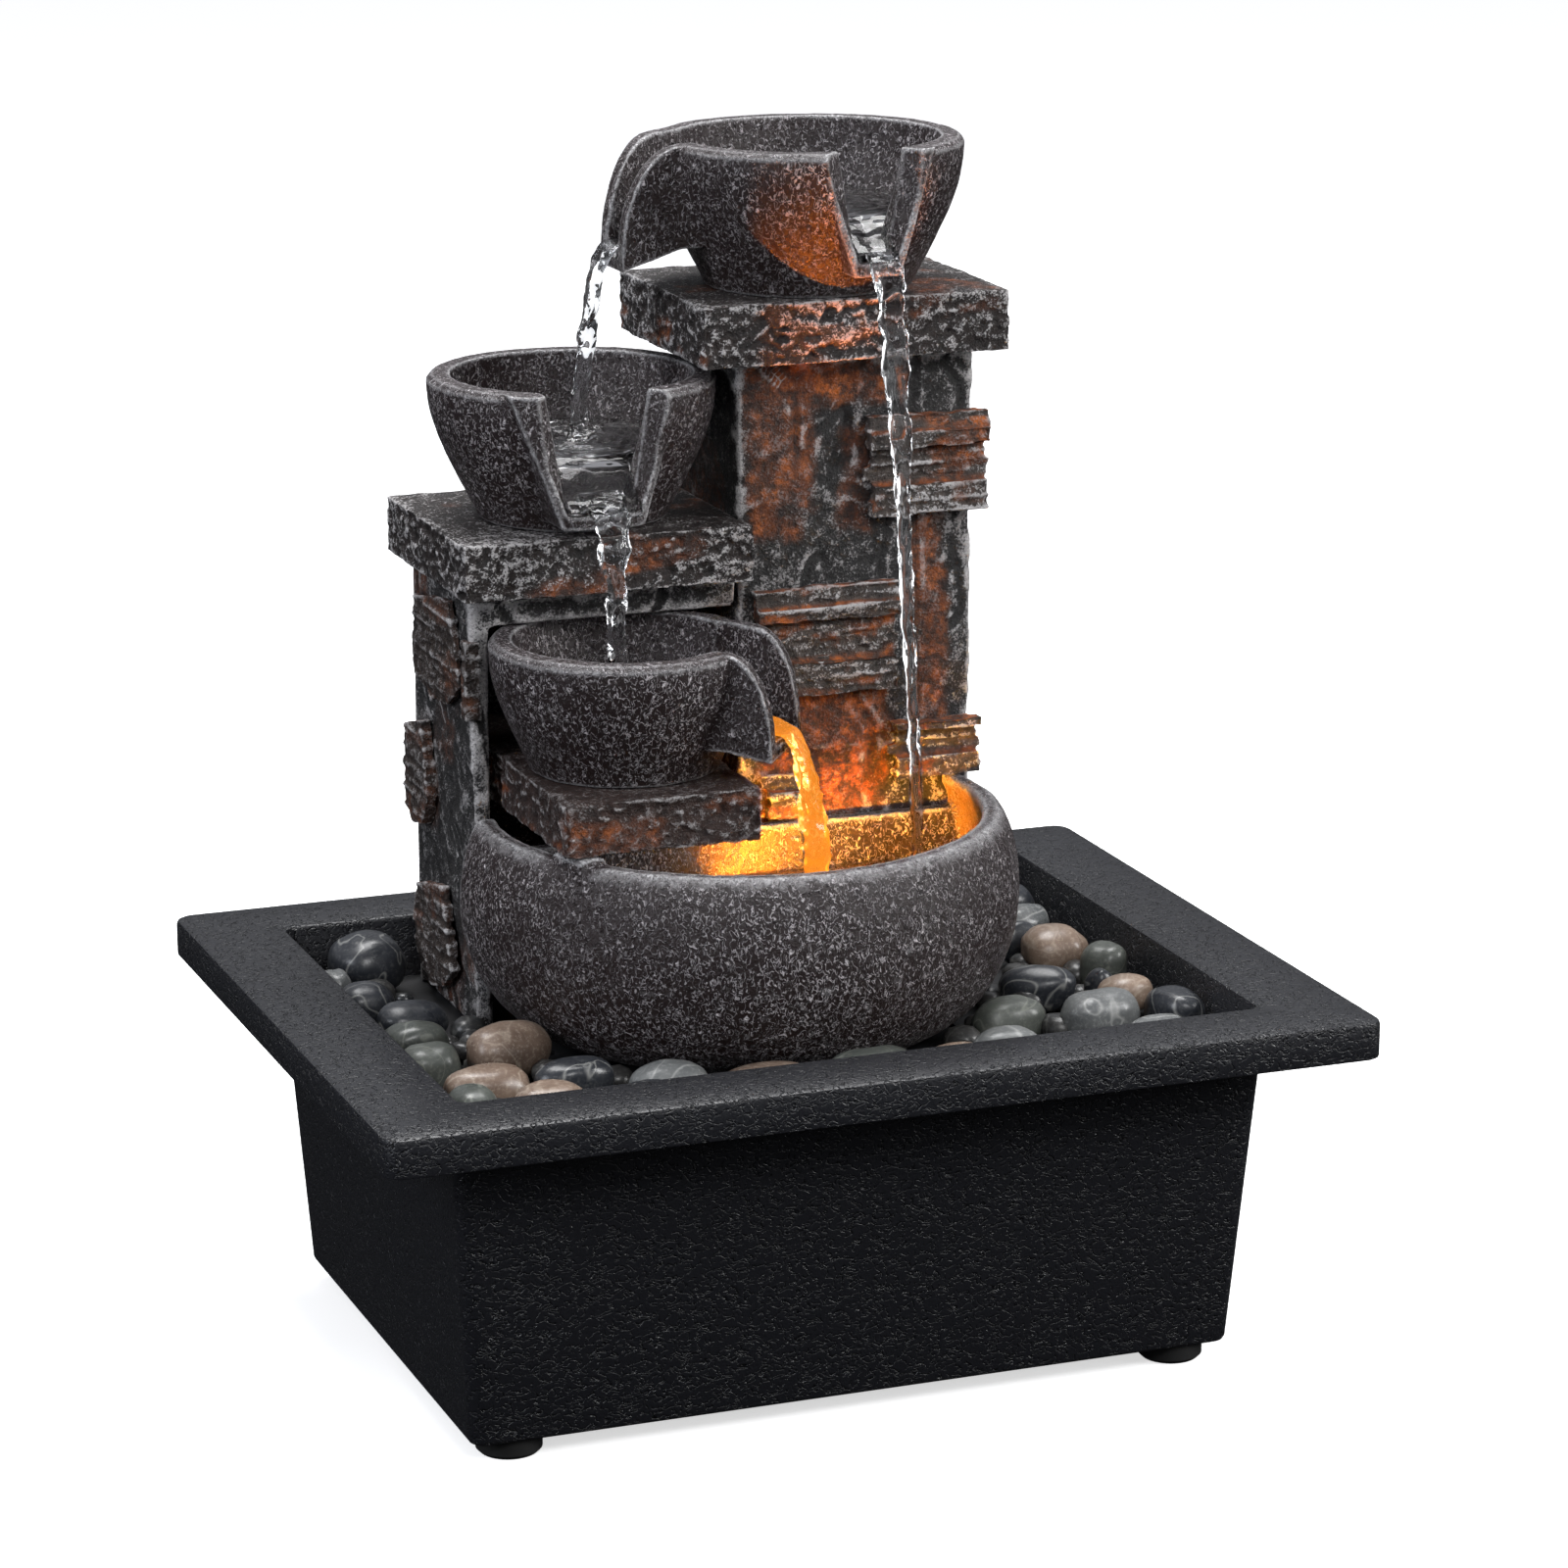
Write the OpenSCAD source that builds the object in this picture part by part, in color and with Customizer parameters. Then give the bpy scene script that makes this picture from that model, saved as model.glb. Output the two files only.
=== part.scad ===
// Tabletop water fountain: bowls on stone-look slabs and columns, standing on a perforated shelf
// in a plastic basin that holds the water and a small pump.
// Origin: centre of the basin, on the table. +X right, +Y to the back, +Z up. Millimetres.

/* [Basin] */
// Width of the basin's rim, left to right
rim_w = 250; // [248:1:256]
// Depth of the basin's rim, front to back
rim_d = 191; // [189:1:196]
// Height of the rim's top face
rim_top = 92.6; // [92:0.1:94]
// Height of the rim's downturned skirt
rim_skirt = 9.6; // [8:0.1:11]
// Width of the basin's box at its floor
floor_w = 195.6; // [194:0.1:198]
// Depth of the basin's box at its floor
floor_d = 139.2; // [138:0.1:141]
// Widening of the box for each millimetre of height, left to right
flare_w = 0.1333; // [0.12:0.0001:0.14]
// Widening of the box for each millimetre of height, front to back
flare_d = 0.1641; // [0.155:0.0001:0.17]
// Thickness of the basin's walls and floor
basin_wall = 2.4; // [2:0.1:2.6]
// Height of the rubber feet
foot_h = 5; // [4:0.5:6]
// Diameter of the rubber feet
foot_dia = 16; // [12:1:18]
// Height of the shelf's top face, on which the stone work stands
shelf_top = 77; // [76.5:0.5:77]
// Thickness of the shelf
shelf_t = 3; // [2.5:0.1:3.5]

/* [Columns] */
// Plane of the columns' front faces
column_front = 20; // [19.5:0.1:20]
// Plane of the columns' back faces
column_back = 68; // [67:0.5:69]
// Left face of the short column
short_left = -67.5; // [-68:0.5:-67]
// Left face of the tall column
tall_left = 2; // [1.5:0.1:2]
// Right face of the tall column
tall_right = 65; // [64:0.5:66]
// Wall thickness of both columns
column_wall = 5; // [4.5:0.1:5]

/* [Slabs] */
// Underside of the lower slab
lower_slab_z = 134; // [133.5:0.1:134]
// Top of the lower slab
lower_slab_top = 147.3; // [147:0.1:147.5]
// Underside of the middle slab
middle_slab_z = 187.6; // [187.2:0.1:188]
// Top of the middle slab
middle_slab_top = 202.3; // [202:0.1:203]
// Underside of the top slab
top_slab_z = 241; // [240.5:0.1:241.5]
// Top of the top slab
top_slab_top = 256.5; // [256:0.1:257]

/* [Bowls] */
// Height of the base bowl's rim
base_rim_z = 132; // [131.5:0.1:132]
// Largest radius of the base bowl
base_r = 70; // [69.5:0.5:70.5]
// Height of the lower bowl's rim
lower_rim_z = 179.5; // [179:0.1:179.6]
// Radius of the lower bowl's rim
lower_r = 33; // [32:0.5:33.5]
// Height of the middle bowl's rim
middle_rim_z = 238; // [237:0.5:239]
// Radius of the middle bowl's rim
middle_r = 35.8; // [35:0.1:36]
// Height of the upper bowl's rim
upper_rim_z = 293.5; // [293:0.1:294]
// Radius of the upper bowl's rim
upper_r = 38.8; // [38.5:0.1:39.5]
// Thickness of the bowls' walls at the rim
bowl_wall = 6; // [5:0.1:6.5]

/* [Pump and lamp] */
// Height of the rotor's axis
pump_z = 28.4; // [28.4:0.1:29]
// Radius of the rotor's shaft
shaft_r = 1.25; // [1:0.05:1.5]
// Radial clearance of running fits
running_gap = 0.05; // [0.02:0.01:0.1]
// Outer radius of the riser tube
tube_r = 6; // [5.8:0.1:6]
// Inner radius of the riser tube
tube_bore_r = 4.5; // [4.4:0.05:4.6]
// Radius of the lamp's housing
lamp_r = 8; // [7.5:0.1:8]
// Radius of the lamp's lead
lead_r = 1.6; // [1.2:0.1:1.8]

/* [Hidden] */

$fn = 64;
cut = 1;                                     // how far a cutting solid runs past a face
far = 400;                                   // longer than the whole object
floor_top = foot_h + basin_wall;
foot_x = 86;
foot_y = 60;
base_axis = [-2.5, 8];
lower_axis = [-34.3, 2];
middle_axis = [-34.1, 40];
upper_axis = [28.2, 40];
tube_axis = [30, 40];
pump_y = tube_axis.y;
lamp_axis = [-1, -20];
plug_axis = [-1, 38];
grommet_x = 80;
grommet_z = 83.4;
hatch_x = [14, 54];
hatch_z = [100, 180];
bowl_floor = 5.2;
resin_dark = "#3d3533";
resin_stone = "#4a4340";

// ---------------------------------------------------------------- shared shapes

// A box between two corners
module block(a, b) {
    translate(a) cube(b - a);
}

// A cylinder along +X from x0 to x1 on the pump's axis
module pump_disc(x0, x1, r) {
    translate([x0, pump_y, pump_z]) rotate([0, 90, 0]) cylinder(h = x1 - x0, r = r);
}

// A cylinder along +Z from z0 to z1 at the point at
module post(at, z0, z1, r) {
    translate([at.x, at.y, z0]) cylinder(h = z1 - z0, r = r);
}

// A plate with round corners
module round_plate(w, d, z0, z1, r) {
    translate([0, 0, z0]) linear_extrude(z1 - z0) {
        square([w - 2 * r, d], center = true);
        square([w, d - 2 * r], center = true);
        for (x = [-1, 1], y = [-1, 1]) translate([x * (w / 2 - r), y * (d / 2 - r)]) circle(r);
    }
}

// The flared box of the basin between two heights, inset from its outer face
module basin_box(z0, z1, inset) {
    function span(floor, flare, z) = floor / 2 + (z - foot_h) * flare / 2 - inset;
    function side(floor, flare) = [[-span(floor, flare, z0), z0], [span(floor, flare, z0), z0],
        [span(floor, flare, z1), z1], [-span(floor, flare, z1), z1]];
    intersection() {
        rotate([90, 0, 0]) linear_extrude(far, center = true) polygon(side(floor_w, flare_w));
        rotate([90, 0, 90]) linear_extrude(far, center = true) polygon(side(floor_d, flare_d));
    }
}

// ---------------------------------------------------------------- basin and shelf

rim_t = 3;
gate_w = 18;
gate_y = 72;
gate_z = shelf_top + 0.2;

// The box, with a slot in its back wall that the cord gate fills
module basin() {
    color("#17181a") difference() {
        basin_box(foot_h, rim_top - rim_t, 0);
        basin_box(floor_top, rim_top + cut, basin_wall);
        block([grommet_x - gate_w / 2, 60, gate_z], [grommet_x + gate_w / 2, far, far]);
    }
}

// The flange with its downturned skirt
module basin_rim() {
    skirt_t = 2.5;
    color("#17181a") difference() {
        union() {
            round_plate(rim_w, rim_d, rim_top - rim_t, rim_top, 4.5);
            difference() {
                round_plate(rim_w, rim_d, rim_top - rim_skirt, rim_top - rim_t, 4.5);
                round_plate(rim_w - 2 * skirt_t, rim_d - 2 * skirt_t, 0, rim_top, 2.5);
            }
        }
        basin_box(floor_top, rim_top + cut, basin_wall);
        // way out for the cord, under the flange
        block([grommet_x - 7, 80, 0], [grommet_x + 7, far, rim_top - rim_t]);
    }
}

// Corner posts that carry the shelf
module shelf_supports() {
    post_w = 12;
    color("#1c1d20") intersection() {
        basin_box(floor_top, shelf_top - shelf_t, basin_wall);
        for (x = [-1, 1], y = [-1, 1]) translate([x * 96, y * 69, (shelf_top - shelf_t) / 2])
            cube([post_w, post_w, shelf_top - shelf_t], center = true);
    }
}

// Insert in the back wall with the hole for the cord's grommet
module cord_gate() {
    color("#17181a") difference() {
        block([grommet_x - gate_w / 2, gate_y, gate_z], [grommet_x + gate_w / 2, gate_y + 5.5, rim_top - rim_t]);
        translate([grommet_x, far / 2, grommet_z]) rotate([90, 0, 0]) cylinder(h = far, r = 4);
    }
}

module feet() {
    color("#101010") for (x = [-foot_x, foot_x], y = [-foot_y, foot_y])
        translate([x, y, 0]) rotate_extrude()
            polygon([[0, 0], [foot_dia / 2 - 1, 0], [foot_dia / 2, 1], [foot_dia / 2, foot_h], [0, foot_h]]);
}

module shelf() {
    clear = 0.6;
    w = floor_w + (shelf_top - shelf_t - foot_h) * flare_w - 2 * basin_wall - 2 * clear;
    d = floor_d + (shelf_top - shelf_t - foot_h) * flare_d - 2 * basin_wall - 2 * clear;
    legs = [[-55, -25], [55, -25], [-50, 45], [64, 62.5]];
    color("#26272a") {
        difference() {
            translate([-w / 2, -d / 2, shelf_top - shelf_t]) cube([w, d, shelf_t]);
            post(tube_axis, 0, far, 7.5);
            post(plug_axis, 0, far, 6);
            post([grommet_x, 58], 0, far, 5);
            // drain slots
            for (x = [-80:20:80], y = [-58:14:10])
                translate([x - 6, y - 1.5, 0]) cube([12, 3, far]);
        }
        for (at = legs) post(at, floor_top, shelf_top - shelf_t, 4);
    }
}

module cord_grommet() {
    bore_r = 2.6;
    color("#0c0c0c") translate([grommet_x, gate_y + 7.5, grommet_z]) rotate([90, 0, 0]) rotate_extrude()
        polygon([[bore_r, 0], [6, 0], [6, 2], [4, 2], [4, 7.5], [6, 7.5], [6, 9.5], [bore_r, 9.5]]);
}

// ---------------------------------------------------------------- pump

pump_w = 36;                                 // width of the motor box
pump_bottom = 12.4;
pump_top = 44;
motor_x = [-14, 22];
chamber_x = [22, 38];
chamber_r = 15;
well_r = 8.4;                                // bore of the rotor's well
well_end = -10;

module pump_housing() {
    skin = 2;
    color("#2b2d30") difference() {
        union() {
            difference() {
                block([motor_x[0], pump_y - pump_w / 2, pump_bottom],
                    [motor_x[1], pump_y + pump_w / 2, pump_top]);
                block([motor_x[0] - cut, pump_y - pump_w / 2 + skin, pump_bottom + skin],
                    [17, pump_y + pump_w / 2 - skin, pump_top - skin]);
            }
            pump_disc(chamber_x[0] - cut, chamber_x[1], chamber_r);
            pump_disc(well_end - 2, motor_x[1], well_r + 1);
            post(tube_axis, pump_z + 12, 58, tube_bore_r - running_gap);
            post(plug_axis, pump_top - cut, 53, 5.5);
            translate([4, pump_y + pump_w / 2 - cut, 22]) rotate([-90, 0, 0]) cylinder(h = 5, r = 4);
        }
        pump_disc(well_end, chamber_x[0] + 2 + cut, well_r);
        pump_disc(well_end - 1.5, well_end + cut, shaft_r);
        pump_disc(chamber_x[0] + 2, chamber_x[1] + cut, chamber_r - 2);
        post(tube_axis, pump_z, 58 + cut, 3);
        post(plug_axis, pump_top + 1, 53 + cut, 3 + running_gap);
    }
}

module pump_end_cap() {
    color("#2b2d30") {
        block([motor_x[0] - 2, pump_y - pump_w / 2, pump_bottom],
            [motor_x[0], pump_y + pump_w / 2, pump_top]);
        block([motor_x[0] - cut, pump_y - 15.8, pump_bottom + 2.2],
            [motor_x[0] + 1.5, pump_y + 15.8, pump_top - 2.2]);
    }
}

module pump_stator() {
    color("#8a8d92") difference() {
        block([4, pump_y - 15.5, pump_bottom + 2.5], [16, pump_y + 15.5, pump_top - 2.5]);
        pump_disc(4 - cut, 16 + cut, well_r + 1.2);
    }
}

module pump_coil() {
    color("#b4622d") difference() {
        pump_disc(-9, 3, 13.4);
        pump_disc(-9 - cut, 3 + cut, well_r + 1.2);
    }
}

module pump_rotor() {
    vanes = 5;
    color("#4d5358") difference() {
        union() {
            pump_disc(-9.5, 20, well_r - 0.8);
            pump_disc(20 - cut, 36, 3);
            pump_disc(24.8, 26.6, 11);
            for (i = [0:vanes - 1])
                translate([26, pump_y, pump_z]) rotate([i * 360 / vanes, 0, 0])
                    translate([0, -0.8, 2]) cube([8, 1.6, 8.8]);
        }
        pump_disc(-20, 50, shaft_r + running_gap);
    }
}

module pump_shaft() {
    color("#e8e6df") pump_disc(well_end - 1.5, 40, shaft_r);
}

module pump_chamber_cover() {
    color("#2b2d30") difference() {
        union() {
            difference() {
                pump_disc(38, 40, chamber_r);
                pump_disc(38 - cut, 40 + cut, 7);
            }
            pump_disc(36.4, 40, 2.6);
            for (a = [0:120:240])
                translate([38, pump_y, pump_z]) rotate([a, 0, 0])
                    translate([0, -1, 1.8]) cube([2, 2, 6.2]);
        }
        pump_disc(36, 41, shaft_r);
    }
}

// Three square windows on a circle about the pump's axis, from x0 to x1
module pump_windows(x0, x1) {
    for (a = [0:120:240])
        translate([x0, pump_y, pump_z]) rotate([a, 0, 0]) translate([0, -2, 3.4]) cube([x1 - x0, 4, 3.4]);
}

module pump_intake_cover() {
    slots = 12;
    color("#202225") difference() {
        pump_disc(35.2, 56, chamber_r + 2.2);
        pump_disc(35.2 - cut, 54, chamber_r + 0.3);
        pump_disc(54 - cut, 56 + cut, 1.5 + running_gap);
        pump_windows(54 - cut, 56 + cut);
        for (i = [0:slots - 1])
            translate([43, pump_y, pump_z]) rotate([(i + 0.5) * 360 / slots, 0, 0])
                translate([0, -1.5, 12]) cube([8, 3, 8]);
    }
}

module flow_dial() {
    color("#5b6066") difference() {
        union() {
            pump_disc(56.2, 58.5, 8);
            pump_disc(52, 56.2 + cut, 1.5);
            pump_disc(52, 53.6, 2.4);
            translate([58.4, pump_y - 6, pump_z - 1]) cube([2.6, 12, 2]);
        }
        pump_windows(56, 58.5 + cut);
    }
}

module pump_suction_cups() {
    color("#1d1d1d") for (x = [-8, 30], y = [-12, 12])
        translate([x, pump_y + y * (x < 0 ? 1 : 0.5), floor_top]) rotate_extrude()
            polygon([[0, 0.8], [5, 0], [5.2, 0.6], [2.4, 2.2], [2.4, cup_top(x)], [0, cup_top(x)]]);
}

// Height of a suction cup: under the flat motor box, or under the round chamber
function cup_top(x) = x < 0 ? pump_bottom - floor_top
    : pump_z - sqrt(chamber_r * chamber_r - 8.4 * 8.4) - floor_top;

module riser_tube() {
    color("#c9ccd0") difference() {
        post(tube_axis, 46, top_slab_top + bowl_floor, tube_r);
        post(tube_axis, 46 - cut, far, tube_bore_r);
    }
}

module outlet_nozzle() {
    seat = top_slab_top + bowl_floor;
    color("#2b2d30") difference() {
        union() {
            post(tube_axis, seat - 12, seat + cut, tube_bore_r - 0.1);
            post(tube_axis, seat, seat + 2, 9);
            post(tube_axis, seat + 2 - cut, seat + 8, 5);
        }
        post(tube_axis, seat - 12 - cut, seat + 6, 3);
        for (a = [0, 90]) translate([tube_axis.x, tube_axis.y, seat + 4.5]) rotate(a)
            cube([12, 3, 2.4], center = true);
    }
}

// ---------------------------------------------------------------- bowls

// Outer radius of a small bowl at the fraction t of its height
function bowl_r(t, foot, rim) = foot + (rim - foot) * pow(sin(90 * t), 1.1);

// Half outline of a small bowl: [radius, height] from the foot up, wall set in by inset
function bowl_side(foot, rim, z0, z1, inset, steps = 10) =
    [for (i = [0:steps]) [bowl_r(i / steps, foot, rim) - inset, z0 + (z1 - z0) * i / steps]];

// Solid of revolution of a small bowl's outside, its lip eased
module bowl_outside(foot, rim, z0, z1) {
    rotate_extrude($fn = 96) polygon(concat([[0, z0]], bowl_side(foot, rim, z0, z1 - 1.5, 0),
        [[rim - 1.3, z1], [0, z1]]));
}

// Its hollow: a flat floor and a wall that follows the outside
module bowl_inside(foot, rim, z0, z1) {
    steps = 8;
    floor_z = z0 + bowl_floor;
    t0 = bowl_floor / (z1 - z0);
    side = [for (i = [0:steps]) let(t = t0 + (1 - t0) * i / steps)
        [bowl_r(t, foot, rim) - bowl_wall + (i == 0 ? -2 : 0), z0 + (z1 - z0) * t]];
    rotate_extrude($fn = 96) polygon(concat([[0, floor_z]], side,
        [[rim - bowl_wall + 1, z1 + cut], [0, z1 + cut]]));
}

// A trapezoid standing on the XZ plane, half widths given at two heights
function gate(half0, half1, z0, z1) = [[-half0, z0], [half0, z0], [half1, z1], [-half1, z1]];

// The thick jambs of a front notch: they keep the rim's radius down to the lip
module notch_jambs(rim, lip_half, rim_half, z0, z1) {
    intersection() {
        rotate([90, 0, 0]) linear_extrude(rim) polygon(gate(lip_half, rim_half, z0, z1));
        translate([0, 0, z0]) cylinder(h = z1 - z0, r = rim - 0.4, $fn = 96);
    }
}

// The notch itself: straight through the wall, then splayed towards the front
module notch_cut(rim, inner, outer, z0, z1) {
    top = z1 + cut;
    throat = rim - bowl_wall;
    rotate([90, 0, 0]) linear_extrude(throat) polygon(gate(inner[0], inner[1], z0, top));
    hull() {
        translate([0, -throat, 0]) rotate([90, 0, 0]) linear_extrude(0.1)
            polygon(gate(inner[0], inner[1], z0, top));
        translate([0, -rim - 0.5, 0]) rotate([90, 0, 0]) linear_extrude(0.1)
            polygon(gate(outer[0], outer[1], z0 - 0.6, top));
    }
}

// Side view of a spout: straight from the bowl, then a quarter ellipse down to the tip
function spout_side(bend, tip, under, rise, z_tip, z_rim, steps = 12) = concat(
    [[0, under + rise], [bend, under + rise], [tip, under], [tip, z_tip]],
    [for (i = [1:steps]) let(a = 90 * i / steps) [bend + (tip - bend) * cos(a), z_tip + (z_rim - z_tip) * sin(a)]],
    [[0, z_rim]]);

// Outside of a spout that points along +X: plan is its outline from above
module spout_outside(plan, side) {
    intersection() {
        linear_extrude(far) polygon(plan);
        rotate([90, 0, 0]) linear_extrude(far, center = true) polygon(side);
    }
}

// Channel of a spout: its floor falls from z_in at the bowl to z_out at the tip
module spout_channel(plan, x_in, x_out, z_in, z_out) {
    intersection() {
        linear_extrude(far) polygon(plan);
        rotate([90, 0, 0]) linear_extrude(far, center = true)
            polygon([[0, z_in], [x_in, z_in], [x_out, z_out], [x_out + 9, z_out - 3], [x_out + 9, far - 1], [0, far - 1]]);
    }
}

// Half outline of the base bowl: round belly, rim drawn in a little
base_foot_r = 42;
base_rim_r = 66;
base_floor = 5;
belly_z = 111;
function base_side(inset, steps = 8) = concat(
    [for (i = [0:steps]) let(a = 90 * i / steps)
        [base_foot_r + (base_r - base_foot_r) * sin(a) - inset, belly_z - (belly_z - shelf_top) * cos(a)]],
    [for (i = [1:steps]) let(a = 60 * i / steps)
        [base_r - (base_r - base_rim_r) * 2 * (1 - cos(a)) - inset,
            belly_z + (base_rim_z - 1.5 - belly_z) * sin(a) / sin(60)]]);

module base_bowl() {
    wall = 6;
    back_top = 124;
    back_t = 4;
    seat_w = 10;
    color(resin_dark) translate([base_axis.x, base_axis.y, 0]) difference() {
        union() {
            rotate_extrude($fn = 120)
                polygon(concat([[0, shelf_top]], base_side(0), [[base_rim_r - 1.5, base_rim_z], [0, base_rim_z]]));
            // seat under the lower slab's corner
            intersection() {
                translate([-60 - base_axis.x, -30 - base_axis.y, belly_z])
                    cube([seat_w, seat_w, lower_slab_z - belly_z]);
                cylinder(h = far, r = base_rim_r, $fn = 120);
            }
        }
        // the hollow stops short of the flat back wall
        difference() {
            rotate_extrude($fn = 120) polygon(concat([[0, shelf_top + base_floor], [49, shelf_top + base_floor]],
                [for (p = base_side(wall)) if (p.y > shelf_top + base_floor + 1) p],
                [[base_rim_r - wall + 0.8, base_rim_z + cut], [base_rim_r - wall + 0.8, lower_slab_z + cut],
                    [0, lower_slab_z + cut]]));
            translate([-far / 2, column_front - base_axis.y - back_t, 0])
                cube([far, far, back_top]);
        }
        translate([-far / 2, column_front - base_axis.y, 0]) cube([far, far, far]);
        translate([-base_axis.x, -base_axis.y, 0]) {
            translate([lamp_axis.x, column_front - 8, lead_z]) rotate([-90, 0, 0])
                cylinder(h = 20, r = lead_r + 0.1);
            // drain back to the reservoir
            post([20, -10], shelf_top - cut, shelf_top + base_floor + cut, 4);
        }
    }
}

module lower_bowl() {
    foot = 23.3;
    z0 = lower_slab_top;
    color(resin_dark) translate([lower_axis.x, lower_axis.y, 0]) difference() {
        union() {
            bowl_outside(foot, lower_r, z0, lower_rim_z);
            rotate(-36) spout_outside([[8, -13], [30, -13], [41, -14], [41, 14], [22, 24.5], [8, 24.5]],
                spout_side(29, 41, z0 + 6, 2, z0 + 10, lower_rim_z));
        }
        bowl_inside(foot, lower_r, z0, lower_rim_z);
        rotate(-36) spout_channel([[0, -9], [30, -9], [50, -9.6], [50, 6], [20, 20.5], [0, 20.5]],
            24, 41, z0 + 13, z0 + 9.5);
    }
}

module middle_bowl() {
    foot = 23.5;
    notch_x = -3.3;
    z0 = middle_slab_top;
    color(resin_dark) translate([middle_axis.x, middle_axis.y, 0]) difference() {
        union() {
            bowl_outside(foot, middle_r, z0, middle_rim_z);
            translate([notch_x, 0, 0]) notch_jambs(middle_r, 10.5, 22, z0 + 3, middle_rim_z);
        }
        bowl_inside(foot, middle_r, z0, middle_rim_z);
        translate([notch_x, 0, 0]) notch_cut(middle_r, [8.2, 13.2], [9.8, 22], z0 + 7, middle_rim_z);
    }
}

module upper_bowl() {
    foot = 26;
    notch_x = 3.8;
    z0 = top_slab_top;
    color(resin_dark) translate([upper_axis.x, upper_axis.y, 0]) difference() {
        union() {
            bowl_outside(foot, upper_r, z0, upper_rim_z);
            translate([notch_x, 0, 0]) notch_jambs(upper_r, 6, 16, z0 + 6.5, upper_rim_z);
            rotate(180) spout_outside([[10, -25], [26.7, -25], [52.2, -7], [52.2, 10], [10, 10]],
                spout_side(36.2, 52.2, z0 + 6.5, 5, z0 + 10, upper_rim_z));
        }
        bowl_inside(foot, upper_r, z0, upper_rim_z);
        translate([notch_x, 0, 0]) notch_cut(upper_r, [4, 8.7], [5.2, 15.2], z0 + 10.5, upper_rim_z);
        rotate(180) spout_channel([[0, -20.5], [24.7, -20.5], [49.7, -3], [62.2, -3], [62.2, 5.5], [0, 5.5]],
            28.2, 52.2, z0 + 17, z0 + 11);
        translate([tube_axis.x - upper_axis.x, 0, 0]) cylinder(h = far, r = tube_r + 0.3);
    }
}

// ---------------------------------------------------------------- slabs and columns

module lower_slab_shape() {
    block([-60, -30, lower_slab_z], [-10.5, column_back - column_wall, lower_slab_top]);
}

module lower_slab() {
    color(resin_stone) lower_slab_shape();
}

module middle_slab() {
    color(resin_stone) difference() {
        block([-71, 12, middle_slab_z], [tall_left + 1.5, 78, middle_slab_top]);
        // corner that clears the tall column
        block([tall_left, column_front, middle_slab_z - cut], [far, far, middle_slab_top + cut]);
    }
}

module top_slab() {
    color(resin_stone) difference() {
        block([-9.7, 12, top_slab_z], [71, 75, top_slab_top]);
        post(tube_axis, top_slab_z - cut, top_slab_top + cut, tube_r + 0.3);
    }
}

module short_column() {
    lintel_z = 180;
    color(resin_stone) {
        block([short_left, column_front, shelf_top], [short_left + column_wall, column_back, middle_slab_z]);
        block([short_left, column_back - column_wall, shelf_top], [tall_left, column_back, middle_slab_z]);
        block([short_left, column_front, lintel_z], [tall_left, column_back, middle_slab_z]);
    }
}

module tall_column() {
    w = column_wall;
    rebate = 2;
    color(resin_stone) difference() {
        block([tall_left, column_front, shelf_top], [tall_right, column_back, top_slab_z]);
        block([tall_left + w, column_front + w, shelf_top - cut],
            [tall_right - w, column_back - w, top_slab_z + cut]);
        block([hatch_x[0], column_back - w - cut, hatch_z[0]], [hatch_x[1], far, hatch_z[1]]);
        block([hatch_x[0] - rebate, column_back - rebate, hatch_z[0] - rebate],
            [hatch_x[1] + rebate, far, hatch_z[1] + rebate]);
    }
}

module rear_cover() {
    gap = 0.3;
    rim = 2 - gap;
    color("#3a3532") difference() {
        union() {
            block([hatch_x[0] - rim, column_back - 2, hatch_z[0] - rim],
                [hatch_x[1] + rim, column_back, hatch_z[1] + rim]);
            block([hatch_x[0] + gap, column_back - column_wall, hatch_z[0] + gap],
                [hatch_x[1] - gap, column_back - 2 + 0.1, hatch_z[1] - gap]);
        }
        // hollow behind the plate, and the finger slot
        block([hatch_x[0] + 3, 0, hatch_z[0] + 3], [hatch_x[1] - 3, column_back - 2, hatch_z[1] - 3]);
        block([27, 0, hatch_z[1] - 16], [41, far, hatch_z[1] - 10]);
    }
}

// ---------------------------------------------------------------- stone facing

// A patch of stacked flat stones in the plane y = 0, standing out towards -Y.
// Each course is set back and shifted a little by its place in the stack.
module stone_courses(w, h, courses, proud) {
    course_h = h / courses;
    for (i = [0:courses - 1]) {
        inset = 2.2 * (1 + sin(i * 137)) / 2;
        depth = proud * (0.65 + 0.35 * sin(i * 97 + 40));
        translate([inset, -depth, i * course_h]) cube([w - inset * 1.6, depth, course_h]);
    }
}

module pillar_stones() {
    color("#6b4a38") translate([0, column_front, 0]) {
        translate([34.6, 0, 200]) stone_courses(34, 26, 6, 5);
        translate([4.8, 0, 156]) stone_courses(40, 28, 6, 4.5);
        translate([41.7, 0, 132.3]) stone_courses(25.5, 15, 5, 4.5);
        translate([7.4, 0, 124.3]) stone_courses(12.6, 12, 3, 4);
    }
}

module side_stones() {
    color("#6b4a38") translate([tall_right, 0, 0]) rotate(90) {
        translate([24, 0, 203]) stone_courses(22, 20, 5, 3.2);
        translate([34, 0, 150]) stone_courses(28, 22, 5, 3.5);
        translate([22, 0, 98]) stone_courses(24, 18, 4, 3.2);
    }
}

// A split stone plate on the short column's left face: centre, half sizes and thickness
module wall_plate(y, z, half_y, half_z, t) {
    corners = 9;
    points = [for (i = [0:corners - 1]) let(a = i * 360 / corners, k = 0.88 + 0.12 * sin(i * 151))
        [y + half_y * k * cos(a), z + half_z * k * sin(a)]];
    translate([short_left, 0, 0]) rotate([90, 0, -90]) mirror([1, 0, 0]) linear_extrude(t) polygon(points);
}

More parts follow.
